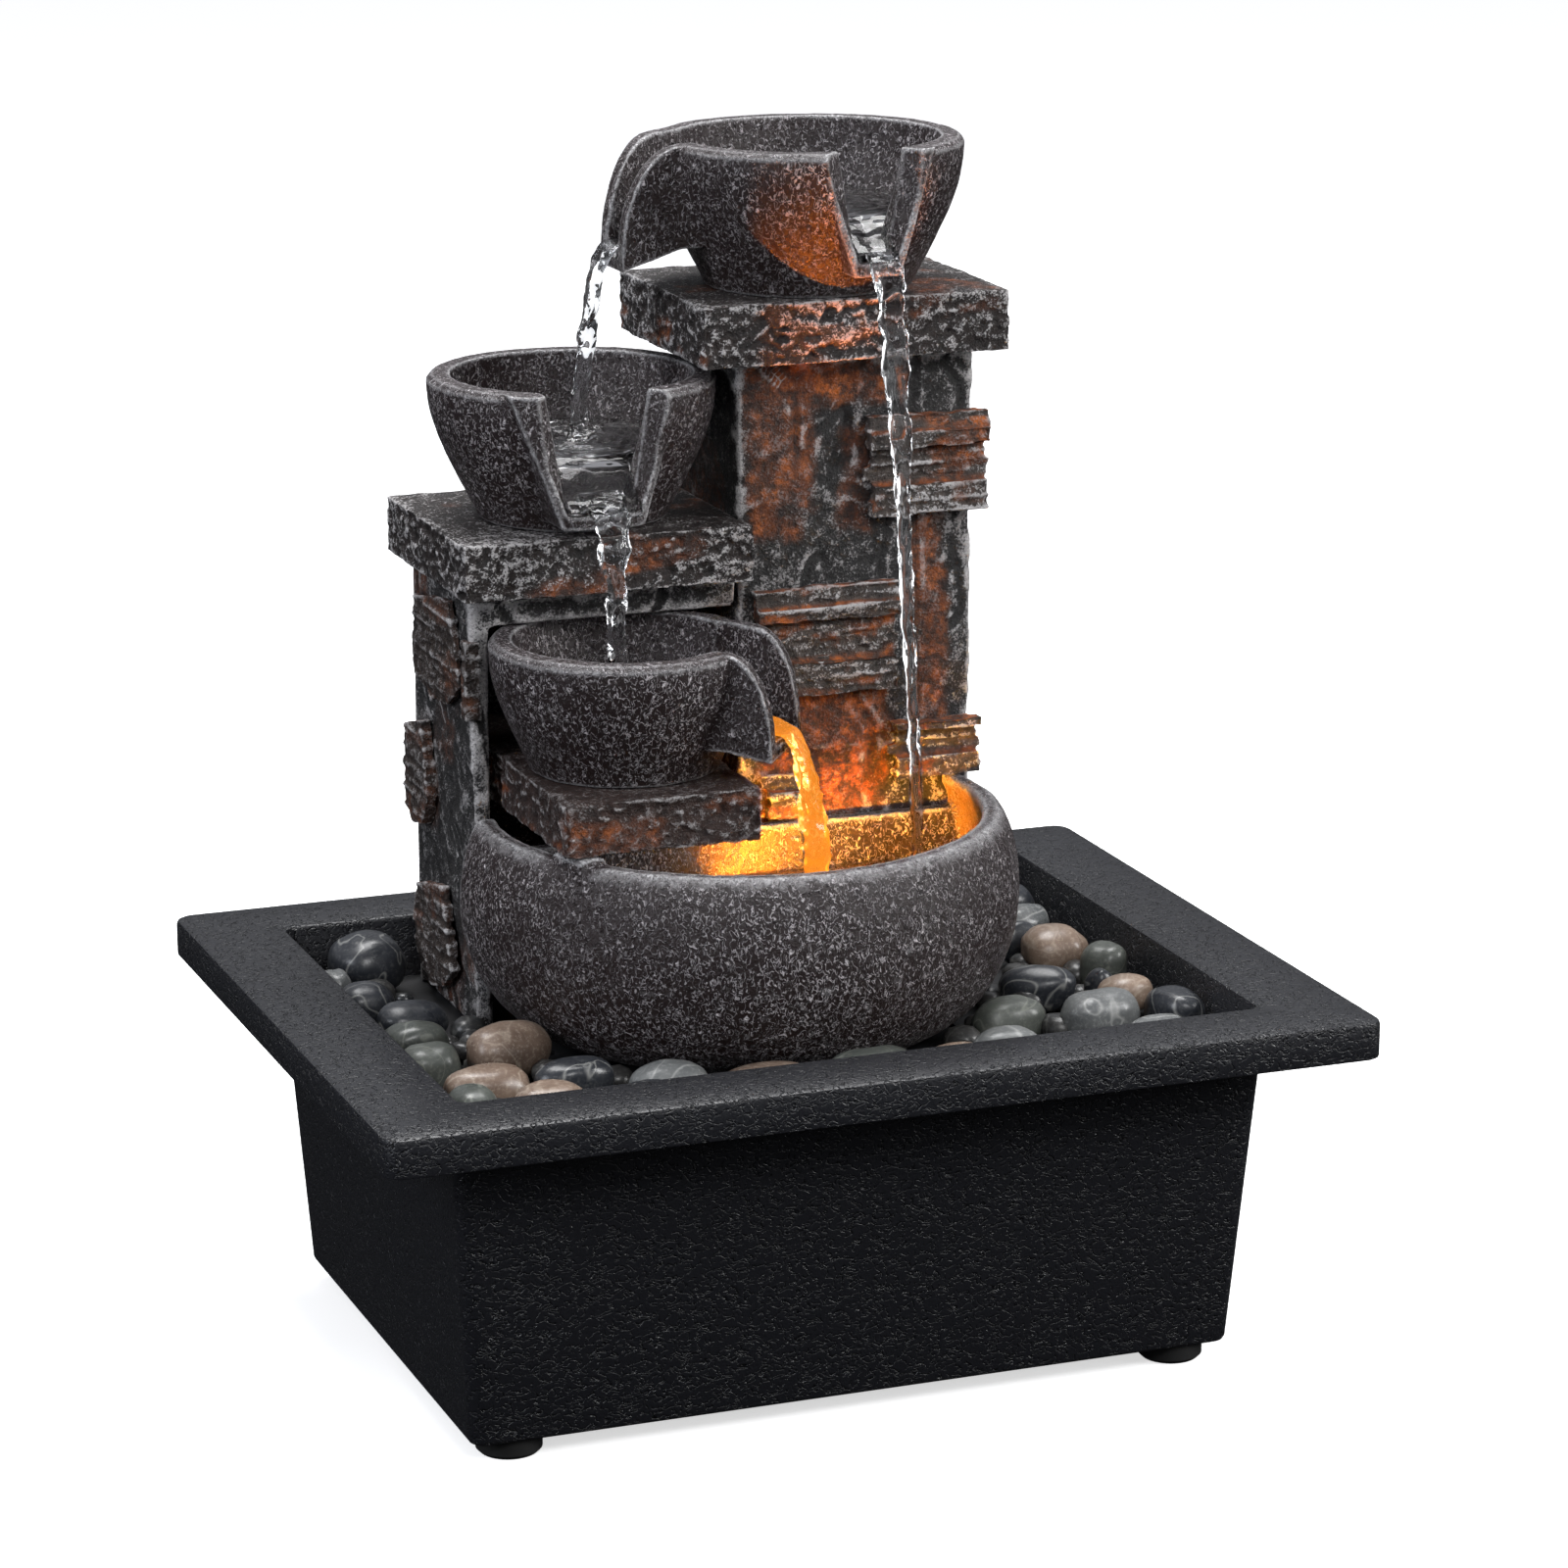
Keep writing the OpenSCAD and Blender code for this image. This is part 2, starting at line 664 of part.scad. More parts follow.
module wall_stones() {
    color("#5f4637") {
        wall_plate(44, 170, 23, 17, 2.2);
        wall_plate(59, 135, 12, 17, 3.4);
        wall_plate(49, 95, 18, 17, 2.6);
        // corner stone that wraps the front edge
        block([short_left - 2, column_front - 1.4, 157], [short_left + 2.5, column_front, 177]);
        block([short_left - 2, column_front - 1.4, 157], [short_left, column_front + 3, 177]);
    }
}

// ---------------------------------------------------------------- lamp

lamp_z = 90.6;
lead_bend = 5;
lead_z = lamp_z - 1 - lead_bend;

module lamp_housing() {
    color("#1c1c1e") difference() {
        post(lamp_axis, lamp_z, lamp_z + 12, lamp_r);
        post(lamp_axis, lamp_z + 2, lamp_z + 12 + cut, lamp_r - 1.4);
        post(lamp_axis, lamp_z - cut, lamp_z + 3, lead_r + 0.1);
    }
}

module lamp_board() {
    color("#e9e6da") {
        post(lamp_axis, lamp_z + 7, lamp_z + 8.2, lamp_r - 1.6);
        for (a = [0:120:240]) translate([lamp_axis.x, lamp_axis.y, 0]) rotate(a)
            post([3.4, 0], lamp_z + 8.1, lamp_z + 10, 1.2);
    }
}

module lamp_gasket() {
    color("#6e2a1c") difference() {
        post(lamp_axis, lamp_z + 12, lamp_z + 12.8, lamp_r);
        post(lamp_axis, lamp_z, lamp_z + 20, lamp_r - 2.2);
    }
}

module lamp_lens() {
    r = lamp_r;
    seat = lamp_z + 12.8;
    color("#ffb347", 0.8) translate([lamp_axis.x, lamp_axis.y, 0]) rotate_extrude()
        polygon(concat([for (i = [0:6]) let(a = i * 15) [r * cos(a), seat + 1 + 3.2 * sin(a)]],
            [for (i = [6:-1:0]) let(a = i * 15) [(r - 1.5) * cos(a), seat + 2 * sin(a)]], [[r, seat]]));
}

// A ring on three legs that stand on the bowl's floor
module lamp_bracket() {
    ring_r = lamp_r + 2;
    color("#2a2b2e") difference() {
        union() {
            post(lamp_axis, lamp_z + 3, lamp_z + 7, ring_r);
            for (a = [30, 150, 270]) translate([lamp_axis.x, lamp_axis.y, 0]) rotate(a)
                post([lamp_r + 1.5, 0], shelf_top + base_floor, lamp_z + 3 + cut, 1.5);
        }
        post(lamp_axis, 0, far, lamp_r + 0.05);
    }
}

// The lead leaves the housing downwards, runs through the bowl's back wall and drops to the plug
module lamp_lead() {
    bend = lead_bend;
    color("#141414") {
        post(lamp_axis, lead_z + bend, lamp_z + 7, lead_r);
        translate([lamp_axis.x, lamp_axis.y + bend, lead_z + bend]) rotate([90, 0, 90]) rotate(180)
            rotate_extrude(angle = 90) translate([bend, 0]) circle(lead_r, $fn = 32);
        translate([lamp_axis.x, lamp_axis.y + bend, lead_z]) rotate([-90, 0, 0])
            cylinder(h = plug_axis.y - lamp_axis.y - 2 * bend, r = lead_r);
        translate([plug_axis.x, plug_axis.y - bend, lead_z - bend]) rotate([90, 0, 90])
            rotate_extrude(angle = 90) translate([bend, 0]) circle(lead_r, $fn = 32);
        post(plug_axis, 64, lead_z - bend, lead_r);
    }
}

module lamp_plug() {
    color("#2a2b2e") {
        post(plug_axis, 46, 54, 3);
        post(plug_axis, 53, 64, 4.5);
    }
}

// ---------------------------------------------------------------- pebbles

// One pebble resting on the shelf: [x, y, length, width, height, turn]
module pebble(p) {
    translate([p[0], p[1], shelf_top + p[4] / 2]) rotate(p[5])
        scale([p[2] / 2, p[3] / 2, p[4] / 2]) sphere(1, $fn = 24);
}

module pebbles(list, shade) {
    color(shade) for (p = list) pebble(p);
}

module pebbles_dark() {
    pebbles([[-83, 61, 21, 20, 16, 0], [-92, 34, 15, 14, 12, 0], [-85, 17, 18, 13, 11, 0],
        [-63, -43, 20, 12, 12, 0], [69.5, -13, 20, 12, 12, -25], [84.5, -18, 8, 7, 11, 0],
        [93, -44, 18, 11, 13, -75], [81, 24.5, 11, 7, 12, 0], [86, 51, 21, 17, 15, 10],
        [-52, -66, 19, 11, 12, 0], [62, -66, 17, 11, 12, 0]], "#33383b");
}

module pebbles_green() {
    pebbles([[-90, -1, 17, 13, 12, 0], [-92, -20, 15, 13, 12, 0], [53, -35, 20, 13, 12, 10],
        [5, -63, 22, 13, 13, 0], [92, -4, 12, 12, 13, 90], [-93, -57, 13, 15, 13, 0],
        [93, 67, 12, 9, 12, 0]], "#5d655f");
}

module pebbles_tan() {
    pebbles([[-71.5, -17.5, 22, 15, 15, 18], [-84, -41, 21, 14, 12, 0], [-20, -59.5, 25, 11, 11, 0],
        [85, 12, 18, 16, 14, 0], [87, -28, 15, 11, 12, 0], [27, -65, 20, 12, 12, 0],
        [-75, -61, 19, 14, 13, 0]], "#94806c");
}

module pebbles_light() {
    pebbles([[-43, -53, 20, 11, 12, 0], [74, -41, 21, 14, 13, 6], [44, -54, 18, 11, 11, 0],
        [87, 35, 14, 11, 13, 20], [80, -62, 17, 13, 12, 0], [-35, -67, 14, 9, 11, 0],
        [-95, 49, 8, 11, 11, 0]], "#8b8c88");
}

basin();
basin_rim();
shelf_supports();
cord_gate();
feet();
shelf();
cord_grommet();
pump_housing();
pump_end_cap();
pump_stator();
pump_coil();
pump_rotor();
pump_shaft();
pump_chamber_cover();
pump_intake_cover();
flow_dial();
pump_suction_cups();
riser_tube();
outlet_nozzle();
base_bowl();
short_column();
tall_column();
rear_cover();
lower_slab();
middle_slab();
top_slab();
lower_bowl();
middle_bowl();
upper_bowl();
pillar_stones();
side_stones();
wall_stones();
lamp_housing();
lamp_board();
lamp_gasket();
lamp_lens();
lamp_bracket();
lamp_lead();
lamp_plug();
pebbles_dark();
pebbles_green();
pebbles_tan();
pebbles_light();
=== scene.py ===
"""Looks of the tabletop water fountain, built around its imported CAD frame."""

import math

import bmesh
import bpy
import numpy as np
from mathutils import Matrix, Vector


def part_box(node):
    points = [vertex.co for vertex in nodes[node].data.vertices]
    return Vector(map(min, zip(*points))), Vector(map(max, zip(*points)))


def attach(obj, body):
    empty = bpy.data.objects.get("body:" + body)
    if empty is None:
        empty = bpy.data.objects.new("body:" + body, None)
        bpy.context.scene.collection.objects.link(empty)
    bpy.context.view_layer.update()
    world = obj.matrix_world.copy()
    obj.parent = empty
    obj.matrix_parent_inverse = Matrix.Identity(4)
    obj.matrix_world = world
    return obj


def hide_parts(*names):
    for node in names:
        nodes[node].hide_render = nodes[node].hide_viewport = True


MM = 0.001
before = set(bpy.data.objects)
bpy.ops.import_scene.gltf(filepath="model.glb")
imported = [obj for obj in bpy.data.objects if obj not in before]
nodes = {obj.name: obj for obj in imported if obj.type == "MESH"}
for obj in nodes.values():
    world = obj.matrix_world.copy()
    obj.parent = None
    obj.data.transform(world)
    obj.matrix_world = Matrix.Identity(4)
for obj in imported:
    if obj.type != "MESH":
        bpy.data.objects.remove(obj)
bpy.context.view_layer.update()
scene = bpy.context.scene


# ------------------------------------------------------------------ places, in millimetres

def node_box(name):
    """Lowest and highest corner of a CAD node, in millimetres."""
    low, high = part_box(name)
    return np.array(low) / MM, np.array(high) / MM


FLOOR_Z = 5.0                      # underside of the basin
FLARE_W, FLARE_D = 0.1333, 0.1641  # widening of the basin's box per millimetre of height
FLOOR_W, FLOOR_D = 195.6, 139.2    # the basin's box at FLOOR_Z
BASIN_WALL = 2.4
RIM_THICKNESS = 3.0
SKIRT_HEIGHT, SKIRT_WALL = 9.6, 2.5
COLUMN_FRONT = 20.0                # y of the columns' front faces
BASE_AXIS = (-2.5, 8.0)            # x, y of the centre lines of the bowls and of the riser tube
LOWER_AXIS = (-34.3, 2.0)
MIDDLE_AXIS = (-34.1, 40.0)
UPPER_AXIS = (28.2, 40.0)
TUBE_AXIS = (30.0, 40.0)
SHELF_TOP = node_box("shelf")[1][2]


# ------------------------------------------------------------------ noise, on arrays of points

def lattice(ix, iy, iz, seed):
    """A fixed pseudo-random number from 0 to 1 for each lattice point."""
    h = (ix * 374761393 + iy * 668265263 + iz * 1440662683 + seed * 362437) & 0xFFFFFFFF
    h = ((h ^ (h >> 13)) * 1274126177) & 0xFFFFFFFF
    h = ((h ^ (h >> 16)) * 2246822519) & 0xFFFFFFFF
    return ((h ^ (h >> 15)) & 0xFFFFFF) / float(0xFFFFFF)


def value_noise(points, size, seed=0):
    """Smooth noise from -1 to 1 whose features are about size across (a number or one per axis)."""
    q = points / np.asarray(size, float) + 1000.0
    cell = np.floor(q).astype(np.int64)
    t = q - cell
    t = t * t * (3 - 2 * t)
    total = np.zeros(len(points))
    for dx in (0, 1):
        for dy in (0, 1):
            for dz in (0, 1):
                weight = (
                    (t[:, 0] if dx else 1 - t[:, 0])
                    * (t[:, 1] if dy else 1 - t[:, 1])
                    * (t[:, 2] if dz else 1 - t[:, 2])
                )
                total += weight * lattice(cell[:, 0] + dx, cell[:, 1] + dy, cell[:, 2] + dz, seed)
    return total * 2 - 1


def layered_noise(points, size, seed=0, layers=3):
    """Noise with finer and finer detail, about -1 to 1."""
    total, share, norm = 0.0, 1.0, 0.0
    size = np.asarray(size, float)
    for i in range(layers):
        total = total + share * value_noise(points, size / 2**i, seed + 17 * i)
        norm += share
        share *= 0.5
    return total / norm


def facets(points, size, seed=0, tilt=0.5, sharpness=18.0):
    """Split-stone relief: cells with flat, tilted faces that meet in narrow steps. About -1 to 1."""
    q = points / np.asarray(size, float) + 500.0
    base = np.floor(q).astype(np.int64)
    total = np.zeros(len(points))
    weights = np.zeros(len(points))
    for dx in (-1, 0, 1):
        for dy in (-1, 0, 1):
            for dz in (-1, 0, 1):
                c = base + (dx, dy, dz)
                jitter, slope = (
                    np.stack([lattice(c[:, 0], c[:, 1], c[:, 2], seed + k) for k in ks], 1)
                    for ks in ((1, 2, 3), (4, 5, 6))
                )
                d = q - (c + jitter)
                level = lattice(c[:, 0], c[:, 1], c[:, 2], seed + 7) * 2 - 1
                w = np.exp(-sharpness * np.sqrt((d**2).sum(1)))
                total += w * (level + 2 * tilt * (d * (slope * 2 - 1)).sum(1))
                weights += w
    return total / weights


def smooth_step(x, low, high):
    """0 below low, 1 above high, and a smooth curve between."""
    t = np.clip((x - low) / (high - low), 0, 1)
    return t * t * (3 - 2 * t)


# ------------------------------------------------------------------ mesh tools

def object_from(name, points_mm, faces):
    """A mesh object from points in millimetres."""
    mesh = bpy.data.meshes.new(name)
    mesh.from_pydata([tuple(p) for p in np.asarray(points_mm) * MM], [], faces)
    mesh.update()
    obj = bpy.data.objects.new(name, mesh)
    scene.collection.objects.link(obj)
    return obj


def get_points(mesh):
    """The mesh's points in millimetres."""
    co = np.empty(len(mesh.vertices) * 3, np.float32)
    mesh.vertices.foreach_get("co", co)
    return co.reshape(-1, 3).astype(float) / MM


def set_points(mesh, points_mm):
    mesh.vertices.foreach_set("co", (points_mm * MM).astype(np.float32).ravel())
    mesh.update()


def get_normals(mesh):
    n = np.empty(len(mesh.vertices) * 3, np.float32)
    mesh.vertex_normals.foreach_get("vector", n)
    return n.reshape(-1, 3).astype(float)


def set_attribute(mesh, name, values):
    attribute = mesh.attributes.get(name) or mesh.attributes.new(name, "FLOAT", "POINT")
    attribute.data.foreach_set("value", np.asarray(values, np.float32))


def smooth_shading(mesh):
    mesh.polygons.foreach_set("use_smooth", np.ones(len(mesh.polygons), bool))
    mesh.update()


def apply_modifiers(obj):
    """Puts the object's modifiers into its mesh."""
    graph = bpy.context.evaluated_depsgraph_get()
    done = bpy.data.meshes.new_from_object(obj.evaluated_get(graph))
    old = obj.data
    obj.modifiers.clear()
    obj.data = done
    done.name = obj.name
    bpy.data.meshes.remove(old)


def copy_nodes(name, node_names):
    """One new object that holds copies of the CAD nodes' meshes."""
    bm = bmesh.new()
    for n in node_names:
        bm.from_mesh(nodes[n].data)
    bmesh.ops.remove_doubles(bm, verts=bm.verts, dist=1e-6)
    mesh = bpy.data.meshes.new(name)
    bm.to_mesh(mesh)
    bm.free()
    obj = bpy.data.objects.new(name, mesh)
    scene.collection.objects.link(obj)
    return obj


def voxel_remesh(obj, voxel_mm):
    """Gives the object an even mesh of quads about voxel_mm across."""
    modifier = obj.modifiers.new("remesh", "REMESH")
    modifier.mode = "VOXEL"
    modifier.voxel_size = voxel_mm * MM
    apply_modifiers(obj)


def edge_array(mesh):
    e = np.empty(len(mesh.edges) * 2, np.int32)
    mesh.edges.foreach_get("vertices", e)
    return e.reshape(-1, 2)


def neighbour_mean(values, edges, count):
    """Mean of each point's neighbours."""
    columns = values.reshape(len(values), -1)
    ends = np.concatenate([edges[:, 0], edges[:, 1]])
    others = np.concatenate([edges[:, 1], edges[:, 0]])
    out = np.stack(
        [np.bincount(ends, columns[others, k], minlength=count) for k in range(columns.shape[1])], 1
    )
    degree = np.bincount(ends, minlength=count)
    return (out / np.maximum(degree, 1)[:, None]).reshape(values.shape)


def relax(points, edges, rounds):
    """Softens edges: each round moves a point halfway to its neighbours' mean."""
    for _ in range(rounds):
        points = points + 0.5 * (neighbour_mean(points, edges, len(points)) - points)
    return points


def edge_wear(points, normals, edges):
    """How far each point stands out from its surroundings, in millimetres: 0 on a flat."""
    wide = points
    for _ in range(3):
        wide = neighbour_mean(wide, edges, len(points))
    out = ((points - wide) * normals).sum(1)
    return neighbour_mean(out, edges, len(points))


def finish_piece(obj, body, material, replaced=()):
    """Gives a new piece its material and body, and hides the CAD nodes it stands for."""
    obj.data.materials.clear()
    obj.data.materials.append(material)
    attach(obj, body)
    if replaced:
        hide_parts(*replaced)
    return obj


def carve(name, node_names, voxel, shape, material, relax_rounds=2):
    """A stone piece: the CAD nodes' shape, remeshed evenly and then worked by shape(points, normals)."""
    obj = copy_nodes(name, node_names)
    voxel_remesh(obj, voxel)
    mesh = obj.data
    edges = edge_array(mesh)
    points = relax(get_points(mesh), edges, relax_rounds)
    set_points(mesh, points)
    normals = get_normals(mesh)
    moved, marks = shape(points, normals)
    points = points + normals * moved[:, None]
    set_points(mesh, points)
    normals = get_normals(mesh)
    set_attribute(mesh, "wear", edge_wear(points, normals, edges))
    for key, values in marks.items():
        set_attribute(mesh, key, values)
    smooth_shading(mesh)
    return finish_piece(obj, "sculpture", material, node_names)


# ------------------------------------------------------------------ shader tools

class Shader:
    """Short names for building a node material."""

    def __init__(self, name):
        self.material = bpy.data.materials.new(name)
        self.material.use_nodes = True
        self.tree = self.material.node_tree
        self.bsdf = self.tree.nodes["Principled BSDF"]
        self.output = self.tree.nodes["Material Output"]

    def node(self, kind, inputs=None, **settings):
        n = self.tree.nodes.new(kind)
        for key, value in settings.items():
            setattr(n, key, value)
        for key, value in (inputs or {}).items():
            if isinstance(value, bpy.types.NodeSocket):
                self.tree.links.new(value, n.inputs[key])
            else:
                n.inputs[key].default_value = value
        return n

    def object_coordinates(self):
        return self.node("ShaderNodeTexCoord").outputs["Object"]

    def noise(self, scale, detail=3.0, roughness=0.5, distortion=0.0, vector=None):
        """Noise whose features are about 1/scale metres across."""
        return self.node(
            "ShaderNodeTexNoise",
            {
                "Vector": vector or self.object_coordinates(),
                "Scale": scale,
                "Detail": detail,
                "Roughness": roughness,
                "Distortion": distortion,
            },
        ).outputs["Fac"]

    def stretched(self, factors):
        """Object coordinates scaled by one factor per axis."""
        return self.node(
            "ShaderNodeMapping", {"Vector": self.object_coordinates(), "Scale": factors}
        ).outputs["Vector"]

    def ramp(self, value, stops, interpolation="LINEAR"):
        """A value through stops [(position, grey or colour)]; returns the colour."""
        n = self.node("ShaderNodeValToRGB", {"Fac": value})
        ramp = n.color_ramp
        ramp.interpolation = interpolation
        while len(ramp.elements) < len(stops):
            ramp.elements.new(0.5)
        for element, (position, colour) in zip(ramp.elements, stops):
            element.position = position
            if not hasattr(colour, "__len__"):
                colour = (colour, colour, colour)
            element.color = (*colour, 1)
        return n.outputs["Color"]

    def math(self, operation, a, b=0.0, clamp=False):
        n = self.node("ShaderNodeMath", operation=operation, use_clamp=clamp)
        for i, value in enumerate((a, b)):
            if isinstance(value, bpy.types.NodeSocket):
                self.tree.links.new(value, n.inputs[i])
            else:
                n.inputs[i].default_value = value
        return n.outputs[0]

    def mix(self, factor, a, b, blend="MIX"):
        n = self.node("ShaderNodeMix", data_type="RGBA", blend_type=blend)
        for socket, value in ((n.inputs[0], factor), (n.inputs[6], a), (n.inputs[7], b)):
            if isinstance(value, bpy.types.NodeSocket):
                self.tree.links.new(value, socket)
            else:
                socket.default_value = value if not hasattr(value, "__len__") else (*value, 1)
        return n.outputs[2]

    def attribute(self, name):
        return self.node("ShaderNodeAttribute", attribute_name=name).outputs["Fac"]

    def bump(self, height, distance_mm, strength=1.0, below=None):
        inputs = {"Height": height, "Distance": distance_mm * MM, "Strength": strength}
        if below is not None:
            inputs["Normal"] = below
        return self.node("ShaderNodeBump", inputs).outputs["Normal"]

    def set(self, **values):
        """Sets the main shader's sockets, with _ for a space, and returns the material."""
        for key, value in values.items():
            socket = self.bsdf.inputs[key.replace("_", " ")]
            if isinstance(value, bpy.types.NodeSocket):
                self.tree.links.new(value, socket)
            else:
                socket.default_value = (*value, 1) if hasattr(value, "__len__") and len(value) == 3 else value
        return self.material


def bowl_material(name):
    """Cast resin bowl: dark brown ground under a wormy emboss whose crests are dry-brushed pale."""
    s = Shader(name)
    tall = s.stretched((1.0, 1.0, 0.62))
    worms = s.noise(820, 1.5, 0.5, 0.9, tall)
    line = s.math("ABSOLUTE", s.math("SUBTRACT", worms, 0.5))
    crest = s.ramp(line, [(0.0, 1.0), (0.05, 0.0)])
    broken = s.ramp(s.noise(950, 2, 0.6), [(0.41, 0.0), (0.5, 1.0)])
    broad = s.noise(38, 4, 0.6)
    brushed = s.math("ADD", broad, s.math("MULTIPLY", s.attribute("brush"), 0.4))
    amount = s.ramp(brushed, [(0.35, 0.35), (0.75, 1.0)])
    grain = s.math("MULTIPLY", crest, broken)
    ground = s.mix(s.ramp(broad, [(0.35, 0.0), (0.65, 1.0)]), (0.011, 0.0038, 0.0028), (0.014, 0.007, 0.0062))
    haze = s.mix(s.attribute("brush"), ground, (0.05, 0.038, 0.041))
    ground = s.mix(0.35, ground, haze)
    # painted lamp light: the base bowl's inner wall takes a pale warm colour where the amber lamp shines on it
    ground = s.mix(s.attribute("painted_lamp_light"), ground, (0.2, 0.115, 0.06))
    colour = s.mix(s.math("MULTIPLY", grain, amount), ground, (0.95, 0.88, 0.91))
    worn = s.ramp(s.attribute("wear"), [(0.03, 0.0), (0.1, 1.0)])
    worn = s.math("MULTIPLY", worn, s.ramp(s.noise(1500, 2, 0.6), [(0.34, 0.2), (0.56, 0.9)]))
    colour = s.mix(worn, colour, (0.55, 0.54, 0.55))
    height = s.math("ADD", crest, s.math("MULTIPLY", s.noise(1900, 2, 0.6), 0.4))
    rough = s.ramp(grain, [(0.0, 0.37), (1.0, 0.6)])
    return s.set(Base_Color=colour, Roughness=rough, Normal=s.bump(height, 0.95, 1.0))


def stone_material(name, dark, light, speck, amount, rust=None):
    """Chiselled resin stone: dark ground, pale crests and edges, rust patches where marked."""
    s = Shader(name)
    broad = s.noise(42, 4, 0.6)
    medium = s.noise(360, 4, 0.68, 0.3)
    fine = s.noise(1500, 3, 0.65, 0.5)
    ground = s.mix(s.ramp(medium, [(0.35, 0.0), (0.65, 1.0)]), dark, light)
    if rust:
        tone = s.ramp(s.noise(210, 4, 0.65), [(0.3, rust[0]), (0.5, rust[1]), (0.72, rust[2])])
        cover = s.ramp(s.noise(360, 4, 0.7), [(0.42, 0.0), (0.55, 1.0)])
        cover = s.math("ADD", s.math("MULTIPLY", cover, 0.75), 0.25)
        ground = s.mix(s.math("MULTIPLY", s.attribute("rust"), cover), ground, tone)
    height = s.math("ADD", medium, s.math("MULTIPLY", fine, 0.7))
    level = s.math("ADD", s.math("MULTIPLY", medium, 0.45), s.math("MULTIPLY", fine, 0.75))
    level = s.math("ADD", level, s.math("MULTIPLY", s.attribute("wear"), 0.9))
    level = s.math("ADD", level, s.math("MULTIPLY", s.math("SUBTRACT", broad, 0.5), 0.35))
    pale = s.ramp(level, [(0.645, 0.0), (0.73, amount)])
    unrusted = s.math("SUBTRACT", 1.0, s.math("MULTIPLY", s.attribute("rust"), 0.7))
    pale = s.math("MULTIPLY", pale, unrusted, True)
    worn = s.ramp(s.attribute("wear"), [(0.07, 0.0), (0.22, 1.0)])
    worn = s.math("MULTIPLY", worn, s.ramp(fine, [(0.36, 0.25), (0.58, 1.0)]))
    colour = s.mix(pale, ground, speck)
    colour = s.mix(worn, colour, [min(1, c * 1.2) for c in speck])
    rough = s.ramp(medium, [(0.3, 0.42), (0.7, 0.7)])
    return s.set(Base_Color=colour, Roughness=rough, Normal=s.bump(height, 1.3, 1.0))


def plain_plastic(name, colour, roughness=0.45, grain=900.0, depth=0.05):
    """Moulded plastic: one colour with a slight haze and a fine moulded grain."""
    s = Shader(name)
    tone = s.mix(s.ramp(s.noise(60, 3), [(0.3, 0.0), (0.7, 1.0)]), colour, [c * 1.25 + 0.002 for c in colour])
    return s.set(Base_Color=tone, Roughness=roughness, Normal=s.bump(s.noise(grain, 2), depth, 0.6))


def wrinkled_plastic(name):
    """The basin's satin black plastic with a wormy leather grain."""
    s = Shader(name)
    swirl = s.noise(520, 1.2, 0.45, 0.9, s.stretched((0.7, 0.85, 1.0)))
    crease = s.math("ABSOLUTE", s.math("SUBTRACT", swirl, 0.5))
    crease = s.ramp(crease, [(0.0, 0.0), (0.03, 0.85), (0.09, 1.0)])
    broken = s.ramp(s.noise(640, 2, 0.5), [(0.42, 1.0), (0.56, 0.0)])
    grain = s.math("MAXIMUM", crease, broken)
    pores = s.noise(1700, 2, 0.6)
    height = s.math("ADD", grain, s.math("MULTIPLY", pores, 0.2))
    # painted shade: the grain's creases are coloured darker than its crests
    tone = s.mix(grain, (0.004, 0.0042, 0.0055), (0.0115, 0.012, 0.015))
    rough = s.ramp(pores, [(0.3, 0.3), (0.7, 0.44)])
    return s.set(Base_Color=tone, Roughness=rough, Normal=s.bump(height, 0.55, 1.0))


def pebble_material(name, dark, light, vein, vein_amount=0.0, speck=0.25):
    """River stone: two tones in soft bands, fine specks, and a few pale veins; slightly polished."""
    s = Shader(name)
    shift = s.attribute("seed")
    moved = s.node("ShaderNodeCombineXYZ", {"X": shift, "Y": shift, "Z": shift}).outputs[0]
    place = s.node("ShaderNodeVectorMath", {0: s.object_coordinates(), 1: moved}, operation="ADD").outputs[0]
    bands = s.noise(70, 4, 0.6, 0.8, place)
    own = s.attribute("tone")
    base = s.mix(s.math("ADD", s.math("MULTIPLY", s.ramp(bands, [(0.3, 0.0), (0.7, 1.0)]), 0.55),
                        s.math("MULTIPLY", own, 0.45)), dark, light)
    specks = s.ramp(s.noise(1100, 3, 0.7, 0, place), [(0.5, 0.0), (0.68, 1.0)])
    base = s.mix(s.math("MULTIPLY", specks, speck), base, vein)
    line = s.math("ABSOLUTE", s.math("SUBTRACT", s.noise(48, 2, 0.5, 1.2, place), 0.5))
    veins = s.ramp(line, [(0.0, 1.0), (0.018, 0.0)])
    base = s.mix(s.math("MULTIPLY", veins, vein_amount), base, vein)
    rough = s.ramp(bands, [(0.3, 0.24), (0.7, 0.42)])
    return s.set(Base_Color=base, Roughness=rough, Normal=s.bump(s.noise(900, 3, 0.6, 0, place), 0.06, 0.5))


def water_material(name="water", tint=(0.97, 0.985, 1.0), roughness=0.012, glow=0.0):
    """Clear water; glow is emission that paints the lamp's light scattered in the fall over the lamp: painted
    light, the water is no lamp.
    """
    s = Shader(name)
    if glow:
        s.set(Emission_Color=(1.0, 0.33, 0.03), Emission_Strength=glow)
    return s.set(Base_Color=tint, Roughness=roughness, IOR=1.33, Transmission_Weight=1.0)


def metal(name, colour, roughness):
    """Bare metal with fine brushed lines."""
    s = Shader(name)
    brushed = s.noise(900, 2, 0.5, 0, s.stretched((1, 12, 12)))
    rough = s.ramp(brushed, [(0.3, roughness), (0.7, roughness + 0.15)])
    return s.set(Base_Color=colour, Metallic=1.0, Roughness=rough, Normal=s.bump(brushed, 0.02, 0.4))


# ------------------------------------------------------------------ stone pieces

SPECK = (0.6, 0.58, 0.58)
# the brightest rust tone also paints the lamp glow on the lowest patch of the column front
RUST = ((0.04, 0.013, 0.006), (0.2, 0.052, 0.013), (0.6, 0.155, 0.022))


